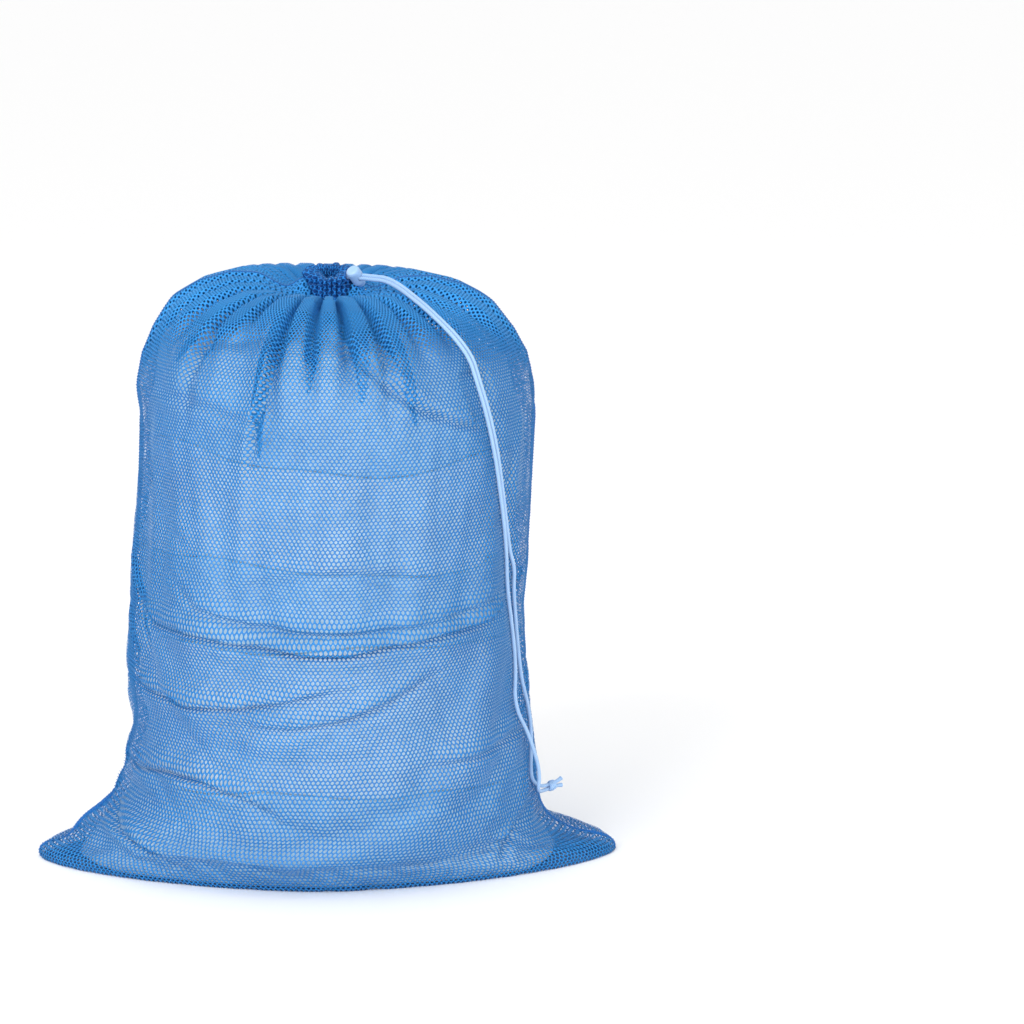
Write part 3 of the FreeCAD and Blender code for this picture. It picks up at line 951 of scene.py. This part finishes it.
def normals_of(points):
    """Outward directions of a half bag's grid."""
    up = np.gradient(points, axis=0)
    across = np.gradient(points, axis=1)
    normal = np.cross(across, up)
    length = np.linalg.norm(normal, axis=-1)[..., None]
    normal = normal / np.maximum(length, 1e-12)
    outward = points - np.array((NECK_X, 0.0, 0.2))
    flip = np.sign(np.einsum("...i,...i", normal, outward))[..., None]
    return np.where(length > 1e-10, normal * np.where(flip == 0, 1, flip), 0.0)


def folded_half(shares, ups, front):
    """One panel's cloth with its folds, gathers and soft wrinkles. Front panels lie towards -Y."""
    base = plain_surface(shares, ups)
    height = base[..., 2]
    up = np.array(ups)[:, None]
    angle = angle_round(base, front)
    turned = np.radians((angle + 180) % 360 - 180 if front else angle - 180)
    around = turned * BODY_RADIUS
    out, down = fold_shift(base, front, FRONT_FOLDS if front else BACK_FOLDS)
    low = wrinkle(around, height, LOW_WAVES if front else LOW_WAVES_BACK)
    slack = rise(-height, -0.42, -0.26) * rise(height, 0.02, 0.08)
    calm = 1 - rise(up, WALL_TOP, WALL_TOP + 0.05)
    out = out + 2.0 * MM * low * (0.35 + 0.65 * slack) * calm
    out = out - CREASE_DEPTH * cloth_creases(base, front) * (0.3 + 0.7 * slack) * calm
    floor_fade = rise(height, 0.0, 0.03) * (up > UNDERSIDE)
    out = out * floor_fade + gather_shift(angle, up)
    shape = base + normals_of(base) * out[..., None]
    shape[..., 2] -= down * floor_fade
    # The sides and the back of the dome stand higher than its front.
    facing = np.cos(np.radians(angle))
    backness = rise(-facing, -0.75, 0.1)
    radius = np.hypot(base[..., 0] - NECK_X, base[..., 1])
    swell = rise(-radius, -0.187, -0.145) * (1 - 0.85 * rise(-radius, -0.075, -0.03))
    lean = 1 - LEFT_HIGHER * np.minimum(np.sin(np.radians(angle)), 0.0)
    shape[..., 2] += np.where(up > WALL_TOP, DOME_RISE * lean * backness * swell, 0.0)
    beside = rise(-facing, -0.92, -0.35) * bell((radius - 24 * MM) / (15 * MM))
    shape[..., 2] += np.where(up > WALL_TOP, COLLAR_RISE * beside, 0.0)
    shape[..., 2] = np.maximum(shape[..., 2], FLOOR_GAP)
    shape[..., 1] = np.maximum(shape[..., 1], 0.0) + SEAM_HALF
    if front:
        shape[..., 1] *= -1
    return shape, cloth_coordinates(angle, shares, ups)


def press_under(points, lines, clearance):
    """Moves cloth in from a cord that lies on it, so that it stays outside the cloth."""
    cloth = points.reshape(-1, 3).copy()
    outward = cloth - np.array((NECK_X, 0, 0))
    outward[:, 2] = np.where(cloth[:, 2] > 0.5, (cloth[:, 2] - 0.42) * 1.2, 0.0)
    outward /= np.maximum(np.linalg.norm(outward, axis=1), 1e-9)[:, None]
    for line in lines:
        for start in range(0, len(line), 4):
            point = line[start]
            gap = point - cloth
            near = np.linalg.norm(gap, axis=1) < 0.03
            if not near.any():
                continue
            above = np.einsum("ij,ij->i", gap[near], outward[near])
            aside = np.linalg.norm(gap[near] - outward[near] * above[:, None], axis=1)
            wanted = clearance - above - np.maximum(aside - 3 * MM, 0) * 0.35
            push = np.maximum(wanted, 0) * (aside < 0.02)
            cloth[near] -= outward[near] * push[:, None]
    return cloth.reshape(points.shape)


# ---- settling of the cloth -------------------------------------------------------------------------
COARSE_COLUMNS = 61
COARSE_ROWS = 118
SETTLE_FRAMES = 24
SETTLE_GROWTH = 0.035       # the cloth gets this much longer than its first shape, so that it wrinkles
SETTLE_CAP = 10.0 * MM


def settled_shift():
    """Lets the bag's cloth hang under its own weight on the pile of laundry, with its neck and its
    underside held. Gives how far each point of the two coarse half bags moves."""
    scene = bpy.context.scene
    shares = np.linspace(0, 1, COARSE_COLUMNS)
    ups = np.linspace(0, CLOTH_TOP, COARSE_ROWS)
    start = {front: folded_half(shares, ups, front)[0] for front in (True, False)}
    ring = np.concatenate([start[True], start[False][:, ::-1]], axis=1)
    ring = np.concatenate([ring, ring[:, :1]], axis=1)
    columns = ring.shape[1]
    bm = bmesh.new()
    bmesh.ops.create_grid(bm, x_segments=columns - 1, y_segments=COARSE_ROWS - 1, size=0.5)
    spot = bm.verts.layers.int.new("spot")
    for vert in bm.verts:
        row = round((vert.co.y + 0.5) * (COARSE_ROWS - 1))
        column = round((vert.co.x + 0.5) * (columns - 1))
        vert[spot] = row * columns + column % (columns - 1)
        vert.co = ring[row, column]
    bmesh.ops.remove_doubles(bm, verts=bm.verts[:], dist=1e-6)
    mesh = bpy.data.meshes.new("settling_cloth")
    bm.to_mesh(mesh)
    bm.free()
    cloth = bpy.data.objects.new("settling_cloth", mesh)
    scene.collection.objects.link(cloth)
    spots = np.zeros(len(mesh.vertices), int)
    mesh.attributes["spot"].data.foreach_get("value", spots)
    held = cloth.vertex_groups.new(name="held")
    row_up = ups[spots // columns]
    held_above = rise(row_up, WALL_TOP - 0.09, WALL_TOP + 0.01)
    held_below = rise(-row_up, -UNDERSIDE - 0.045, -UNDERSIDE)
    for i, value in enumerate(np.maximum(held_above, held_below)):
        if value > 0:
            held.add([i], float(value), "REPLACE")

    wall, _ = pile_wall()
    levels = [i for i in range(0, len(wall_heights), 3) if wall_heights[i] < 0.455]
    pile = np.array([np.column_stack([wall[i], np.full(len(wall[i]), wall_heights[i])]) for i in levels])
    pile = np.concatenate([pile, pile_top(pile[-1], 0.44)[::2]])
    body = cloth_mesh("settling_pile", pile[:, ::2], ring=True, close_ends=True)
    mound = bpy.data.objects.new("settling_pile", body)
    scene.collection.objects.link(mound)
    mound.modifiers.new("collision", "COLLISION")
    mound.collision.thickness_outer = 1.0 * MM
    mound.collision.cloth_friction = 12.0

    settle = cloth.modifiers.new("cloth", "CLOTH")
    settle.settings.quality = 6
    settle.settings.mass = 0.12
    settle.settings.tension_stiffness = 18
    settle.settings.compression_stiffness = 18
    settle.settings.shear_stiffness = 4
    settle.settings.bending_stiffness = 0.04
    settle.settings.air_damping = 2.0
    settle.settings.vertex_group_mass = "held"
    settle.settings.pin_stiffness = 1.0
    settle.settings.shrink_min = -SETTLE_GROWTH
    settle.collision_settings.distance_min = 2.0 * MM
    settle.collision_settings.collision_quality = 3
    settle.point_cache.frame_start = 1
    settle.point_cache.frame_end = SETTLE_FRAMES
    for frame_number in range(1, SETTLE_FRAMES + 1):
        scene.frame_set(frame_number)
        graph = bpy.context.evaluated_depsgraph_get()
        shaped = cloth.evaluated_get(graph)
        count = len(shaped.data.vertices)
    places = np.zeros(count * 3, np.float32)
    shaped.data.vertices.foreach_get("co", places)
    moved = np.zeros((COARSE_ROWS * columns, 3))
    moved[spots] = places.reshape(-1, 3) - ring.reshape(-1, 3)[spots]
    moved = moved.reshape(COARSE_ROWS, columns, 3)
    scene.frame_set(1)
    for thing in (cloth, mound):
        data = thing.data
        bpy.data.objects.remove(thing)
        bpy.data.meshes.remove(data)
    length = np.linalg.norm(moved, axis=-1)[..., None]
    moved *= SETTLE_CAP * np.tanh(length / SETTLE_CAP) / np.maximum(length, 1e-9)
    half = COARSE_COLUMNS
    return {"front_panel": moved[:, :half], "back_panel": moved[:, half:2 * half][:, ::-1]}


def grid_values(field, at_row, at_column):
    """Values of a grid between its points; places are counted in rows and in columns."""
    row = np.clip(np.floor(at_row).astype(int), 0, field.shape[0] - 2)
    column = np.clip(np.floor(at_column).astype(int), 0, field.shape[1] - 2)
    row_share = (at_row - row)[..., None]
    column_share = (at_column - column)[..., None]
    lower = field[row, column] * (1 - column_share) + field[row, column + 1] * column_share
    upper = field[row + 1, column] * (1 - column_share) + field[row + 1, column + 1] * column_share
    return lower * (1 - row_share) + upper * row_share


def resample(field, rows, columns):
    """A coarse field of vectors on a finer grid, its corners softened."""
    at_row, at_column = np.meshgrid(np.linspace(0, field.shape[0] - 1, rows),
                                    np.linspace(0, field.shape[1] - 1, columns), indexing="ij")
    fine = grid_values(field, at_row, at_column)
    for _ in range(2):
        fine[1:-1] = (fine[:-2] + 2 * fine[1:-1] + fine[2:]) / 4
        fine[:, 1:-1] = (fine[:, :-2] + 2 * fine[:, 1:-1] + fine[:, 2:]) / 4
    return fine


PLEAT_ROWS = 27
PLEAT_COLUMNS = 7


def pleat_layers(points, uv, front):
    """Hidden layers of the gathers: cloth of each valley, folded back under the cloth beside it.
    Each is narrow where its gather starts and wide at the neck."""
    draw = np.random.default_rng(17)
    normals = normals_of(points)
    layers = []
    for centre, width, start, _ in GATHERS:
        lean = draw.uniform(-1.2, 1.2)
        early = draw.uniform(0.04, 0.34)
        fullness = draw.uniform(0.55, 1.3)
        turned = (centre + 180) % 360 - 180 if front else 180 - centre
        middle = (turned + 90) / 180
        if not 0.04 < middle < 0.96:
            continue
        along = np.linspace(0, 1, PLEAT_ROWS)[:, None]
        aside = np.linspace(-1, 1, PLEAT_COLUMNS)[None, :]
        early += 0.32 * rise(abs(turned), 30, 60)
        begin = GATHER_START + np.clip(start + early, 0.0, 0.75) * (CLOTH_TOP - GATHER_START)
        up = begin + (CLOTH_TOP - 3 * MM - begin) * along
        half = width / 180 * fullness * (0.12 + 1.6 * along ** 0.8)
        fan = np.clip(0.0018 * turned, -0.05, 0.05)
        share = middle + half * (lean * (1 - along) + aside) + fan * (1 - along)
        at_row = up / CLOTH_TOP * (ROWS - 1) + np.zeros(share.shape)
        at_column = np.clip(share, 0, 1) * (COLUMNS - 1)
        under = (1.6 + 2.2 * along[..., None]) * MM
        layer = grid_values(points, at_row, at_column) - grid_values(normals, at_row, at_column) * under
        shifted = grid_values(uv, at_row, at_column) + np.array((1.7, 2.3)) * MM
        layers.append(cloth_mesh("pleat", layer, shifted))
    return layers


# ---- seams and stitches ----------------------------------------------------------------------------
SEAM_STITCH = {"pitch": 3.0 * MM, "thread": 0.28 * MM, "reach": 2.3 * MM, "lean": 0.8 * MM}
HEM_STITCH = {"pitch": 2.6 * MM, "thread": 0.3 * MM, "reach": 0.9 * MM, "lean": 0.0}


def band_mesh(name, edge_a, edge_b, outward, thick_out, thick_in):
    """A sewn band that joins two edges, a little thicker than the cloth, closed all round."""
    middle = (edge_a + edge_b) / 2
    over = outward * thick_out
    under = outward * thick_in
    ring = [
        edge_a + over * 0.2, edge_a * 0.6 + edge_b * 0.4 + over, middle + over,
        edge_a * 0.4 + edge_b * 0.6 + over, edge_b + over * 0.2, edge_b - under * 0.6,
        middle - under, edge_a - under * 0.6, edge_a + over * 0.2,
    ]
    points = np.stack(ring, axis=1)
    distance = lengths_along(middle)
    uv = np.zeros(points.shape[:2] + (2,))
    uv[..., 0] = np.linspace(0, 2 * SEAM_HALF * 2, points.shape[1])[None, :]
    uv[..., 1] = distance[:, None]
    return cloth_mesh(name, points, uv, ring=True, close_ends=True)


def stitches_mesh(name, middle, aside, outward, pitch, thread, reach, lean):
    """A row of raised stitches: one small closed loop of thread each, leaning along the seam."""
    distance = lengths_along(middle)
    count = int(distance[-1] / pitch)
    bm = bmesh.new()
    for i in range(count):
        at = (i + 0.5) * pitch
        spot = np.array([np.interp(at, distance, middle[:, k]) for k in range(3)])
        side = direction(*[np.interp(at, distance, aside[:, k]) for k in range(3)])
        lift = direction(*[np.interp(at, distance, outward[:, k]) for k in range(3)])
        ahead = np.cross(side, lift)
        line = []
        for share in (-1, -0.6, 0, 0.6, 1):
            up = lift * thread * (1.3 - 1.5 * share ** 2)
            line.append(spot + side * share * reach + ahead * share * lean + up)
        part = tube_mesh("stitch", line, thread, 5)
        bm.from_mesh(part)
        bpy.data.meshes.remove(part)
    mesh = bpy.data.meshes.new(name)
    bm.to_mesh(mesh)
    bm.free()
    return mesh


def across_seam(edge_a, edge_b):
    """Directions from the one edge of a seam to the other."""
    return (edge_b - edge_a) / np.linalg.norm(edge_b - edge_a, axis=1)[:, None]


def make_seams(halves, binding, thread):
    """The two side seams and the bottom seam, each a doubled band with a row of stitches on it."""
    front, back = halves["front_panel"], halves["back_panel"]
    first = int(np.searchsorted(UPS, UNDERSIDE * 0.6))
    made = []
    for name, column, side in (("left", 0, -1.0), ("right", -1, 1.0)):
        edge_a = front[first:, column]
        edge_b = back[first:, column]
        middle = (edge_a + edge_b) / 2
        along = np.gradient(middle, axis=0)
        outward = np.cross(np.array((0.0, 1.0, 0.0)), along)
        outward /= np.maximum(np.linalg.norm(outward, axis=1), 1e-9)[:, None]
        if outward[len(outward) // 2, 0] * side < 0:
            outward = -outward
        mesh = band_mesh(name + "_side_seam", edge_a, edge_b, outward, 1.1 * MM, 0.8 * MM)
        band = place_piece(name + "_seam_binding", mesh, binding, "bag")
        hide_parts(name + "_side_seam")
        aside = across_seam(edge_a, edge_b)
        line = middle + outward * 1.0 * MM
        mesh = stitches_mesh(name + "_stitches", line, aside, outward, **SEAM_STITCH)
        row = place_piece(name + "_seam_stitches", mesh, thread, "bag")
        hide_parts(name + "_seam_thread")
        made += [band, row]
    edge_a, edge_b = front[0], back[0]
    up = np.tile(UP, (len(edge_a), 1))
    mesh = band_mesh("bottom_seam", edge_a + up * 0.4 * MM, edge_b + up * 0.4 * MM, up, 1.0 * MM, 0.5 * MM)
    band = place_piece("bottom_seam_binding", mesh, binding, "bag")
    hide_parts("bottom_seam")
    aside = across_seam(edge_a, edge_b)
    line = (edge_a + edge_b) / 2 + up * 1.4 * MM
    mesh = stitches_mesh("bottom_stitches", line, aside, up, **SEAM_STITCH)
    row = place_piece("bottom_seam_stitches", mesh, thread, "bag")
    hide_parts("bottom_seam_thread")
    return made + [band, row]


# ---- gathered hem round the mouth ------------------------------------------------------------------
HEM_COLUMNS = 145
HEM_MIDDLE = 17.0 * MM      # radius that parts the hem's outer cloth from its inner cloth
SLOT_HALF_WIDTH = 4.2 * MM  # the slot that the cord comes out of
SLOT_HALF_HEIGHT = 3.4 * MM


def hem_radius(turn, height_share):
    """Outer radius of the hem: uneven pleats, a waist at the cord and a frilled rim."""
    pleat = np.zeros(turn.shape)
    for centre, width, _, size in GATHERS:
        gap = (np.degrees(turn) - centre + 180) % 360 - 180
        ridge = bell((np.abs(gap) - 1.3 * width) / (0.8 * width))
        pleat += size * (0.5 * ridge - bell(gap / (0.55 * width)))
    waist = -1.6 * bell((height_share - 0.72) / 0.2)
    frill = 0.7 * rise(height_share, 0.8, 1.0)
    return CASING_OUTER + MM * (pleat * (2.0 + 0.8 * height_share) - 0.6 + waist + frill)


def hem_points(turns, front):
    """The doubled hem: up the outside, over the rim and down the inside."""
    rows = []
    outer_shares = np.linspace(0, 1, 15)
    rim = 3.2 * MM
    tilt = 2.6 * MM
    rim_height = CASING_TOP - rim - tilt - np.cos(turns) * tilt
    if front:
        rim_height = rim_height - 0.8 * FRONT_DIP * bell(turns / 0.6)
    wavy = 0.9 * MM * np.sin(turns * 9 + 1) + 0.7 * MM * np.sin(turns * 14)
    for share in outer_shares:
        radius = hem_radius(turns, share)
        height = CASING_LOW + (rim_height - CASING_LOW) * share + wavy * share
        rows.append((radius, height))
    rim_outer = rows[-1][0]
    inner = CASING_INNER + 0.35 * (rim_outer - CASING_OUTER)
    for step in np.linspace(0, math.pi, 9)[1:-1]:
        middle = (rim_outer + inner) / 2
        half = (rim_outer - inner) / 2
        rows.append((middle + half * math.cos(step), rim_height + wavy + rim * math.sin(step)))
    for share in np.linspace(1, 0, 13):
        radius = inner + 0.6 * MM * np.sin(turns * 11 + share * 3)
        height = CASING_LOW + (rim_height + wavy - CASING_LOW) * share
        rows.append((radius, height))
    points = []
    for radius, height in rows:
        x = NECK_X + radius * np.sin(turns)
        points.append(np.column_stack([x, -radius * np.cos(turns), height]))
    return np.array(points)


def make_hem(material, thread):
    """The two halves of the gathered hem, with the slot for the cord, and the stitches round it."""
    made = {}
    for name, start, front in (("front_casing", -90, True), ("back_casing", 90, False)):
        turns = np.radians(np.linspace(start, start + 180, HEM_COLUMNS))
        points = hem_points(turns, front)
        uv = np.zeros(points.shape[:2] + (2,))
        uv[..., 0] = turns[None, :] * CASING_OUTER * 1.45
        uv[..., 1] = lengths_along(points[:, HEM_COLUMNS // 2])[:, None] + CLOTH_TOP
        mesh = cloth_mesh(name, points, uv)
        bm = bmesh.new()
        bm.from_mesh(mesh)
        doomed = []
        for face in bm.faces:
            place = np.array(face.calc_center_median()) - NECK
            in_slot = abs(place.dot(BACK)) < SLOT_HALF_WIDTH and abs(place[2]) < SLOT_HALF_HEIGHT
            if in_slot and place.dot(OUT) > HEM_MIDDLE:
                doomed.append(face)
        bmesh.ops.delete(bm, geom=doomed, context="FACES")
        bm.to_mesh(mesh)
        bm.free()
        piece = place_piece(name.replace("casing", "hem"), mesh, material, "bag")
        if (mesh.polygons[10].normal.y > 0) == front:
            mesh.flip_normals()
        thick = piece.modifiers.new("thickness", "SOLIDIFY")
        thick.thickness = CLOTH
        thick.offset = 0.0
        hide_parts(name)
        made[name] = piece
    turns = np.radians(np.linspace(-170, 190, 361))
    share = (STITCH_HEIGHT - CASING_LOW) / (CASING_TOP - CASING_LOW)
    radius = hem_radius(turns, share) + 0.7 * MM
    outward = np.column_stack([np.sin(turns), -np.cos(turns), np.zeros(len(turns))])
    line = np.array((NECK_X, 0.0, STITCH_HEIGHT)) + outward * radius[:, None]
    ahead = np.gradient(line, axis=0)
    mesh = stitches_mesh("hem_stitches", line, ahead, outward, **HEM_STITCH)
    row = place_piece("hem_stitches", mesh, thread, "bag")
    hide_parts("casing_stitching")
    return made


# ---- cord lock ---------------------------------------------------------------------------------------
def make_spring(material):
    """The lock's spring, copied from the imported part. In the lock it is squeezed towards the barrel's
    closed end as the button is pressed.
    """
    bm = bmesh.new()
    bm.from_mesh(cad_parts["lock_spring"].data)
    bmesh.ops.remove_doubles(bm, verts=bm.verts, dist=0.001 * MM)
    mesh = bpy.data.meshes.new("lock_coil")
    bm.to_mesh(mesh)
    bm.free()
    coil = place_piece("lock_coil", mesh, material, "cord_lock")
    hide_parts("lock_spring")
    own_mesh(coil)


# ---- laundry ---------------------------------------------------------------------------------------
INSET = 4.0 * MM            # the laundry stays this far inside the cloth
BUNDLE_ROLL = 3.0 * MM      # radius of a bundle's upper and lower edge
BUNDLE_GAP = 0.25 * MM
# Where one bundle lies on the next: mean height, how far it tilts and waves, in mm, with their turns.
BORDERS = [(108, 12, 4.6, 5, 1.9), (236, 8, 2.4, 4, 0.3), (322, 8, 4.0, 4, 3.1), (424, 10, 4.2, 6, 4.4)]
LAUNDRY_COLUMNS = 97
PILE_LOW = 1.5 * MM
PILE_RIM = 455 * MM         # the crown of the pile begins here
CROWN_GAP = 8.0 * MM        # the pile stops this far under the dome
CROWN_HEIGHT = 549 * MM
CROWN_RADIUS = 191 * MM
CROWN_X = 7.5 * MM          # middle of the crown, from the middle of the bag
LEFT_EAR_EMPTY = 0.42       # share of each ear's reach that holds no laundry
RIGHT_EAR_EMPTY = 0.66


def border_height(index, turn):
    """Height of the border over a bundle, at angles round the pile."""
    mean, tilt, tilt_turn, wave, wave_turn = BORDERS[index]
    level = mean + tilt * np.sin(turn + tilt_turn) + wave * np.sin(3 * turn + wave_turn)
    return (level + 0.5 * wave * np.sin(7 * turn + 2 * wave_turn)) * MM


def pile_wall():
    """The outside of the pile at closely spaced heights: x, y all round, and the turn of each column."""
    shares = np.linspace(0, 1, LAUNDRY_COLUMNS)
    ups = front_wall_distance + UNDERSIDE
    ups[0] += 1e-6
    loops = []
    turns = []
    for front in (True, False):
        base = plain_surface(shares, ups)
        out, _ = fold_shift(base, front, FRONT_FOLDS if front else BACK_FOLDS)
        angle = angle_round(base, front)
        turned = np.radians((angle + 180) % 360 - 180 if front else angle - 180)
        waves_here = LOW_WAVES if front else LOW_WAVES_BACK
        low_wave = wrinkle(turned * BODY_RADIUS, base[..., 2], waves_here)
        spot = base * (1, -1 if front else 1, 1)
        rumple = crumple(spot, 5, ((0.120, 0.75), (0.070, 0.5), (0.040, 0.25)))
        pull = INSET - np.minimum(out, 0) - 2.0 * MM * np.minimum(low_wave, 0)
        rumple = np.clip(rumple, 0, 1.3) * rise(base[..., 2], 0.01, 0.08)
        pull += CREASE_DEPTH * np.maximum(cloth_creases(base, front), 0) + 6.0 * MM * rumple
        pull += np.maximum(-gather_shift(angle, ups[:, None]), 0)
        flat = base[..., :2].copy()
        flat[..., 0] += LEFT_EAR_EMPTY * np.maximum(-0.2 - flat[..., 0], 0)
        flat[..., 0] -= RIGHT_EAR_EMPTY * np.maximum(flat[..., 0] - 0.2, 0)
        length = np.linalg.norm(flat, axis=-1)[..., None]
        flat *= np.clip(length - pull[..., None], 0, None) / length
        if front:
            flat[..., 1] *= -1
        loops.append(flat)
        turns.append(np.radians(angle[100]))
    wall = np.concatenate([loops[0], loops[1][:, ::-1][:, 1:]], axis=1)
    return wall, np.concatenate([turns[0], turns[1][::-1][1:]])


def crown_height(flat):
    """Top of the pile over a place: under the dome, low towards the back, the right and the neck."""
    x, y = flat[..., 0], flat[..., 1]
    radius = CROWN_RADIUS * np.hypot((x - CROWN_X) / CROWN_RADIUS, y / CROWN_RADIUS)
    under_dome = np.interp(radius, dome_line[::-1, 0], dome_line[::-1, 1]) - CROWN_GAP
    up = WALL_TOP + np.interp(radius, dome_line[::-1, 0], dome_distance[::-1])
    angle = np.degrees(np.arctan2(x - NECK_X, -y)) % 360
    under_dome = under_dome - 1.2 * np.maximum(-gather_shift(angle, up), 0)
    sight = CROWN_HEIGHT - 0.19 * np.maximum(y, 0) - 0.36 * np.maximum(x - 45 * MM, 0)
    neck = np.interp(radius, np.array((0, 40, 80, 105)) * MM, np.array((524, 529, 543, 560)) * MM)
    spot = np.stack([x, y, np.full(x.shape, 0.5)], axis=-1)
    rumple = crumple(spot, 8, ((0.110, 0.8), (0.060, 0.4)))
    return np.minimum(np.minimum(under_dome, sight), neck) - 7 * MM * np.clip(rumple, 0, 1.2)


def pile_top(rim, floor_height):
    """Rows of points from the rim of the pile over its crown to the middle."""
    rows = []
    for reach in np.linspace(1, 0, 32)[1:]:
        flat = rim[:, :2] * reach
        z = np.maximum(crown_height(flat), floor_height)
        z = rim[:, 2] + (z - rim[:, 2]) * rise(1 - reach, 0.0, 0.08)
        rows.append(np.column_stack([flat, z]))
    return np.array(rows)


def bundle_points(low, high, wall, crown):
    """Rows of points of one bundle, from the middle of its underside to the middle of its top."""
    roll = np.linspace(0, math.pi / 2, 7)
    rows = [(reach, 0.0, BUNDLE_ROLL, 0.0) for reach in (0.0, 0.35, 0.7, 0.88)]
    for turn in roll:
        rows.append((1.0, 0.0, BUNDLE_ROLL * (1 - math.sin(turn)), BUNDLE_ROLL * (1 - math.cos(turn))))
    for share in np.linspace(0, 1, 22)[1:-1]:
        rows.append((1.0, share, 0.0, BUNDLE_ROLL * (1 - 2 * share)))
    for turn in roll:
        rows.append((1.0, 1.0, BUNDLE_ROLL * (1 - math.cos(turn)), BUNDLE_ROLL * (math.sin(turn) - 1)))
    rows += [(reach, 1.0, BUNDLE_ROLL, 0.0) for reach in (0.88, 0.7, 0.35, 0.0)]
    points = []
    for reach, share, inward, lift in rows:
        z = low + (high - low) * share + lift
        x = [np.interp(z[i], wall_heights, wall[:, i, 0]) for i in range(wall.shape[1])]
        y = [np.interp(z[i], wall_heights, wall[:, i, 1]) for i in range(wall.shape[1])]
        flat = np.column_stack([x, y])
        length = np.linalg.norm(flat, axis=1)[:, None]
        flat *= (length - inward) / length * reach
        points.append(np.column_stack([flat, z]))
    points = np.array(points)
    if crown:
        below_top = points[:-len(roll) - 4]
        points = np.concatenate([below_top, pile_top(below_top[-1], low + 20 * MM)])
    return points


def make_laundry():
    """The pile as five bundles that lie on each other; the last has the crown under the dome."""
    cottons = [
        cotton("cotton_sky", linear(184, 213, 233), linear(213, 232, 242)),
        cotton("cotton_white", linear(202, 224, 237), linear(229, 239, 244)),
    ]
    tops = [f"laundry_top_{depth}_{side}" for depth in ("front", "back") for side in ("left", "right")]
    plan = [
        ("bundle_bottom", ["laundry_bottom"]), ("bundle_lower", ["laundry_lower"]),
        ("bundle_middle", ["laundry_middle"]), ("bundle_upper", ["laundry_upper"]), ("bundle_top", tops),
    ]
    wall, turns = pile_wall()
    made = []
    for i, (name, nodes) in enumerate(plan):
        low = border_height(i - 1, turns) + BUNDLE_GAP if i else np.full(len(turns), PILE_LOW)
        high = border_height(i, turns) - BUNDLE_GAP if i < len(BORDERS) else np.full(len(turns), PILE_RIM)
        points = bundle_points(low, high, wall, crown=i == len(BORDERS))
        mesh = cloth_mesh(name, points, ring=True)
        piece = place_piece(name, mesh, cottons[i % 2], "bag")
        bm = bmesh.new()
        bm.from_mesh(mesh)
        bmesh.ops.remove_doubles(bm, verts=bm.verts[:], dist=1e-5)
        bmesh.ops.recalc_face_normals(bm, faces=bm.faces[:])
        bm.to_mesh(mesh)
        bm.free()
        mesh.shade_smooth()
        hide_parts(*nodes)
        made.append(piece)
    return made


# ---- the whole bag ---------------------------------------------------------------------------------
COLUMNS = 141
ROWS = 301
SHARES = np.linspace(0, 1, COLUMNS)
UPS = np.linspace(0, CLOTH_TOP, ROWS)


def build():
    """Makes every piece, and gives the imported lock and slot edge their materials."""
    set_stage()
    strands = make_cords(braided_cord())
    net = net_cloth("mesh_cloth", linear(11, 100, 172), linear(56, 151, 222))
    # The hem's holes are not cut. Its last colour is painted into them as the shade of the gathered layers
    # inside.
    hem_net = net_cloth("hem_cloth", linear(14, 100, 180), linear(52, 148, 226), False, linear(8, 62, 124))
    # The seam band's holes are not cut. The yarn colour, painted darker towards the holes as shade, fills
    # them.
    binding = net_cloth("seam_cloth", linear(10, 88, 164), linear(42, 130, 208), False)
    thread = sewing_thread()
    laundry = make_laundry()
    hems = make_hem(hem_net, thread)
    halves = {}
    shifts = settled_shift()
    for name, front in (("front_panel", True), ("back_panel", False)):
        points, uv = folded_half(SHARES, UPS, front)
        if name in shifts:
            points = points + resample(shifts[name], ROWS, COLUMNS)
            points[..., 2] = np.maximum(points[..., 2], FLOOR_GAP)
        points = press_under(points, strands.values(), CORD / 2 + 1.0 * MM)
        halves[name] = points
        mesh = cloth_mesh(name, points, uv)
        join_meshes(mesh, pleat_layers(points, uv, front))
        mark_gathered(mesh, UPS, COLUMNS, front)
        facing = mesh.polygons[len(mesh.polygons) // 2].normal.y
        if (facing > 0) == front:
            mesh.flip_normals()
        panel = place_piece(name + "_net", mesh, net, "bag")
        thick = panel.modifiers.new("thickness", "SOLIDIFY")
        thick.thickness = CLOTH
        thick.offset = 0.0
        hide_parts(name)
    make_seams(halves, binding, thread)
    make_spring(drawn_wire())
    plastic = lock_plastic()
    for node, material in (("lock_barrel", plastic), ("lock_button", plastic), ("cord_slot_edge", thread)):
        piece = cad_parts[node]
        if not piece.material_slots:
            piece.data.materials.append(material)
        for slot in piece.material_slots:
            slot.material = material


build()
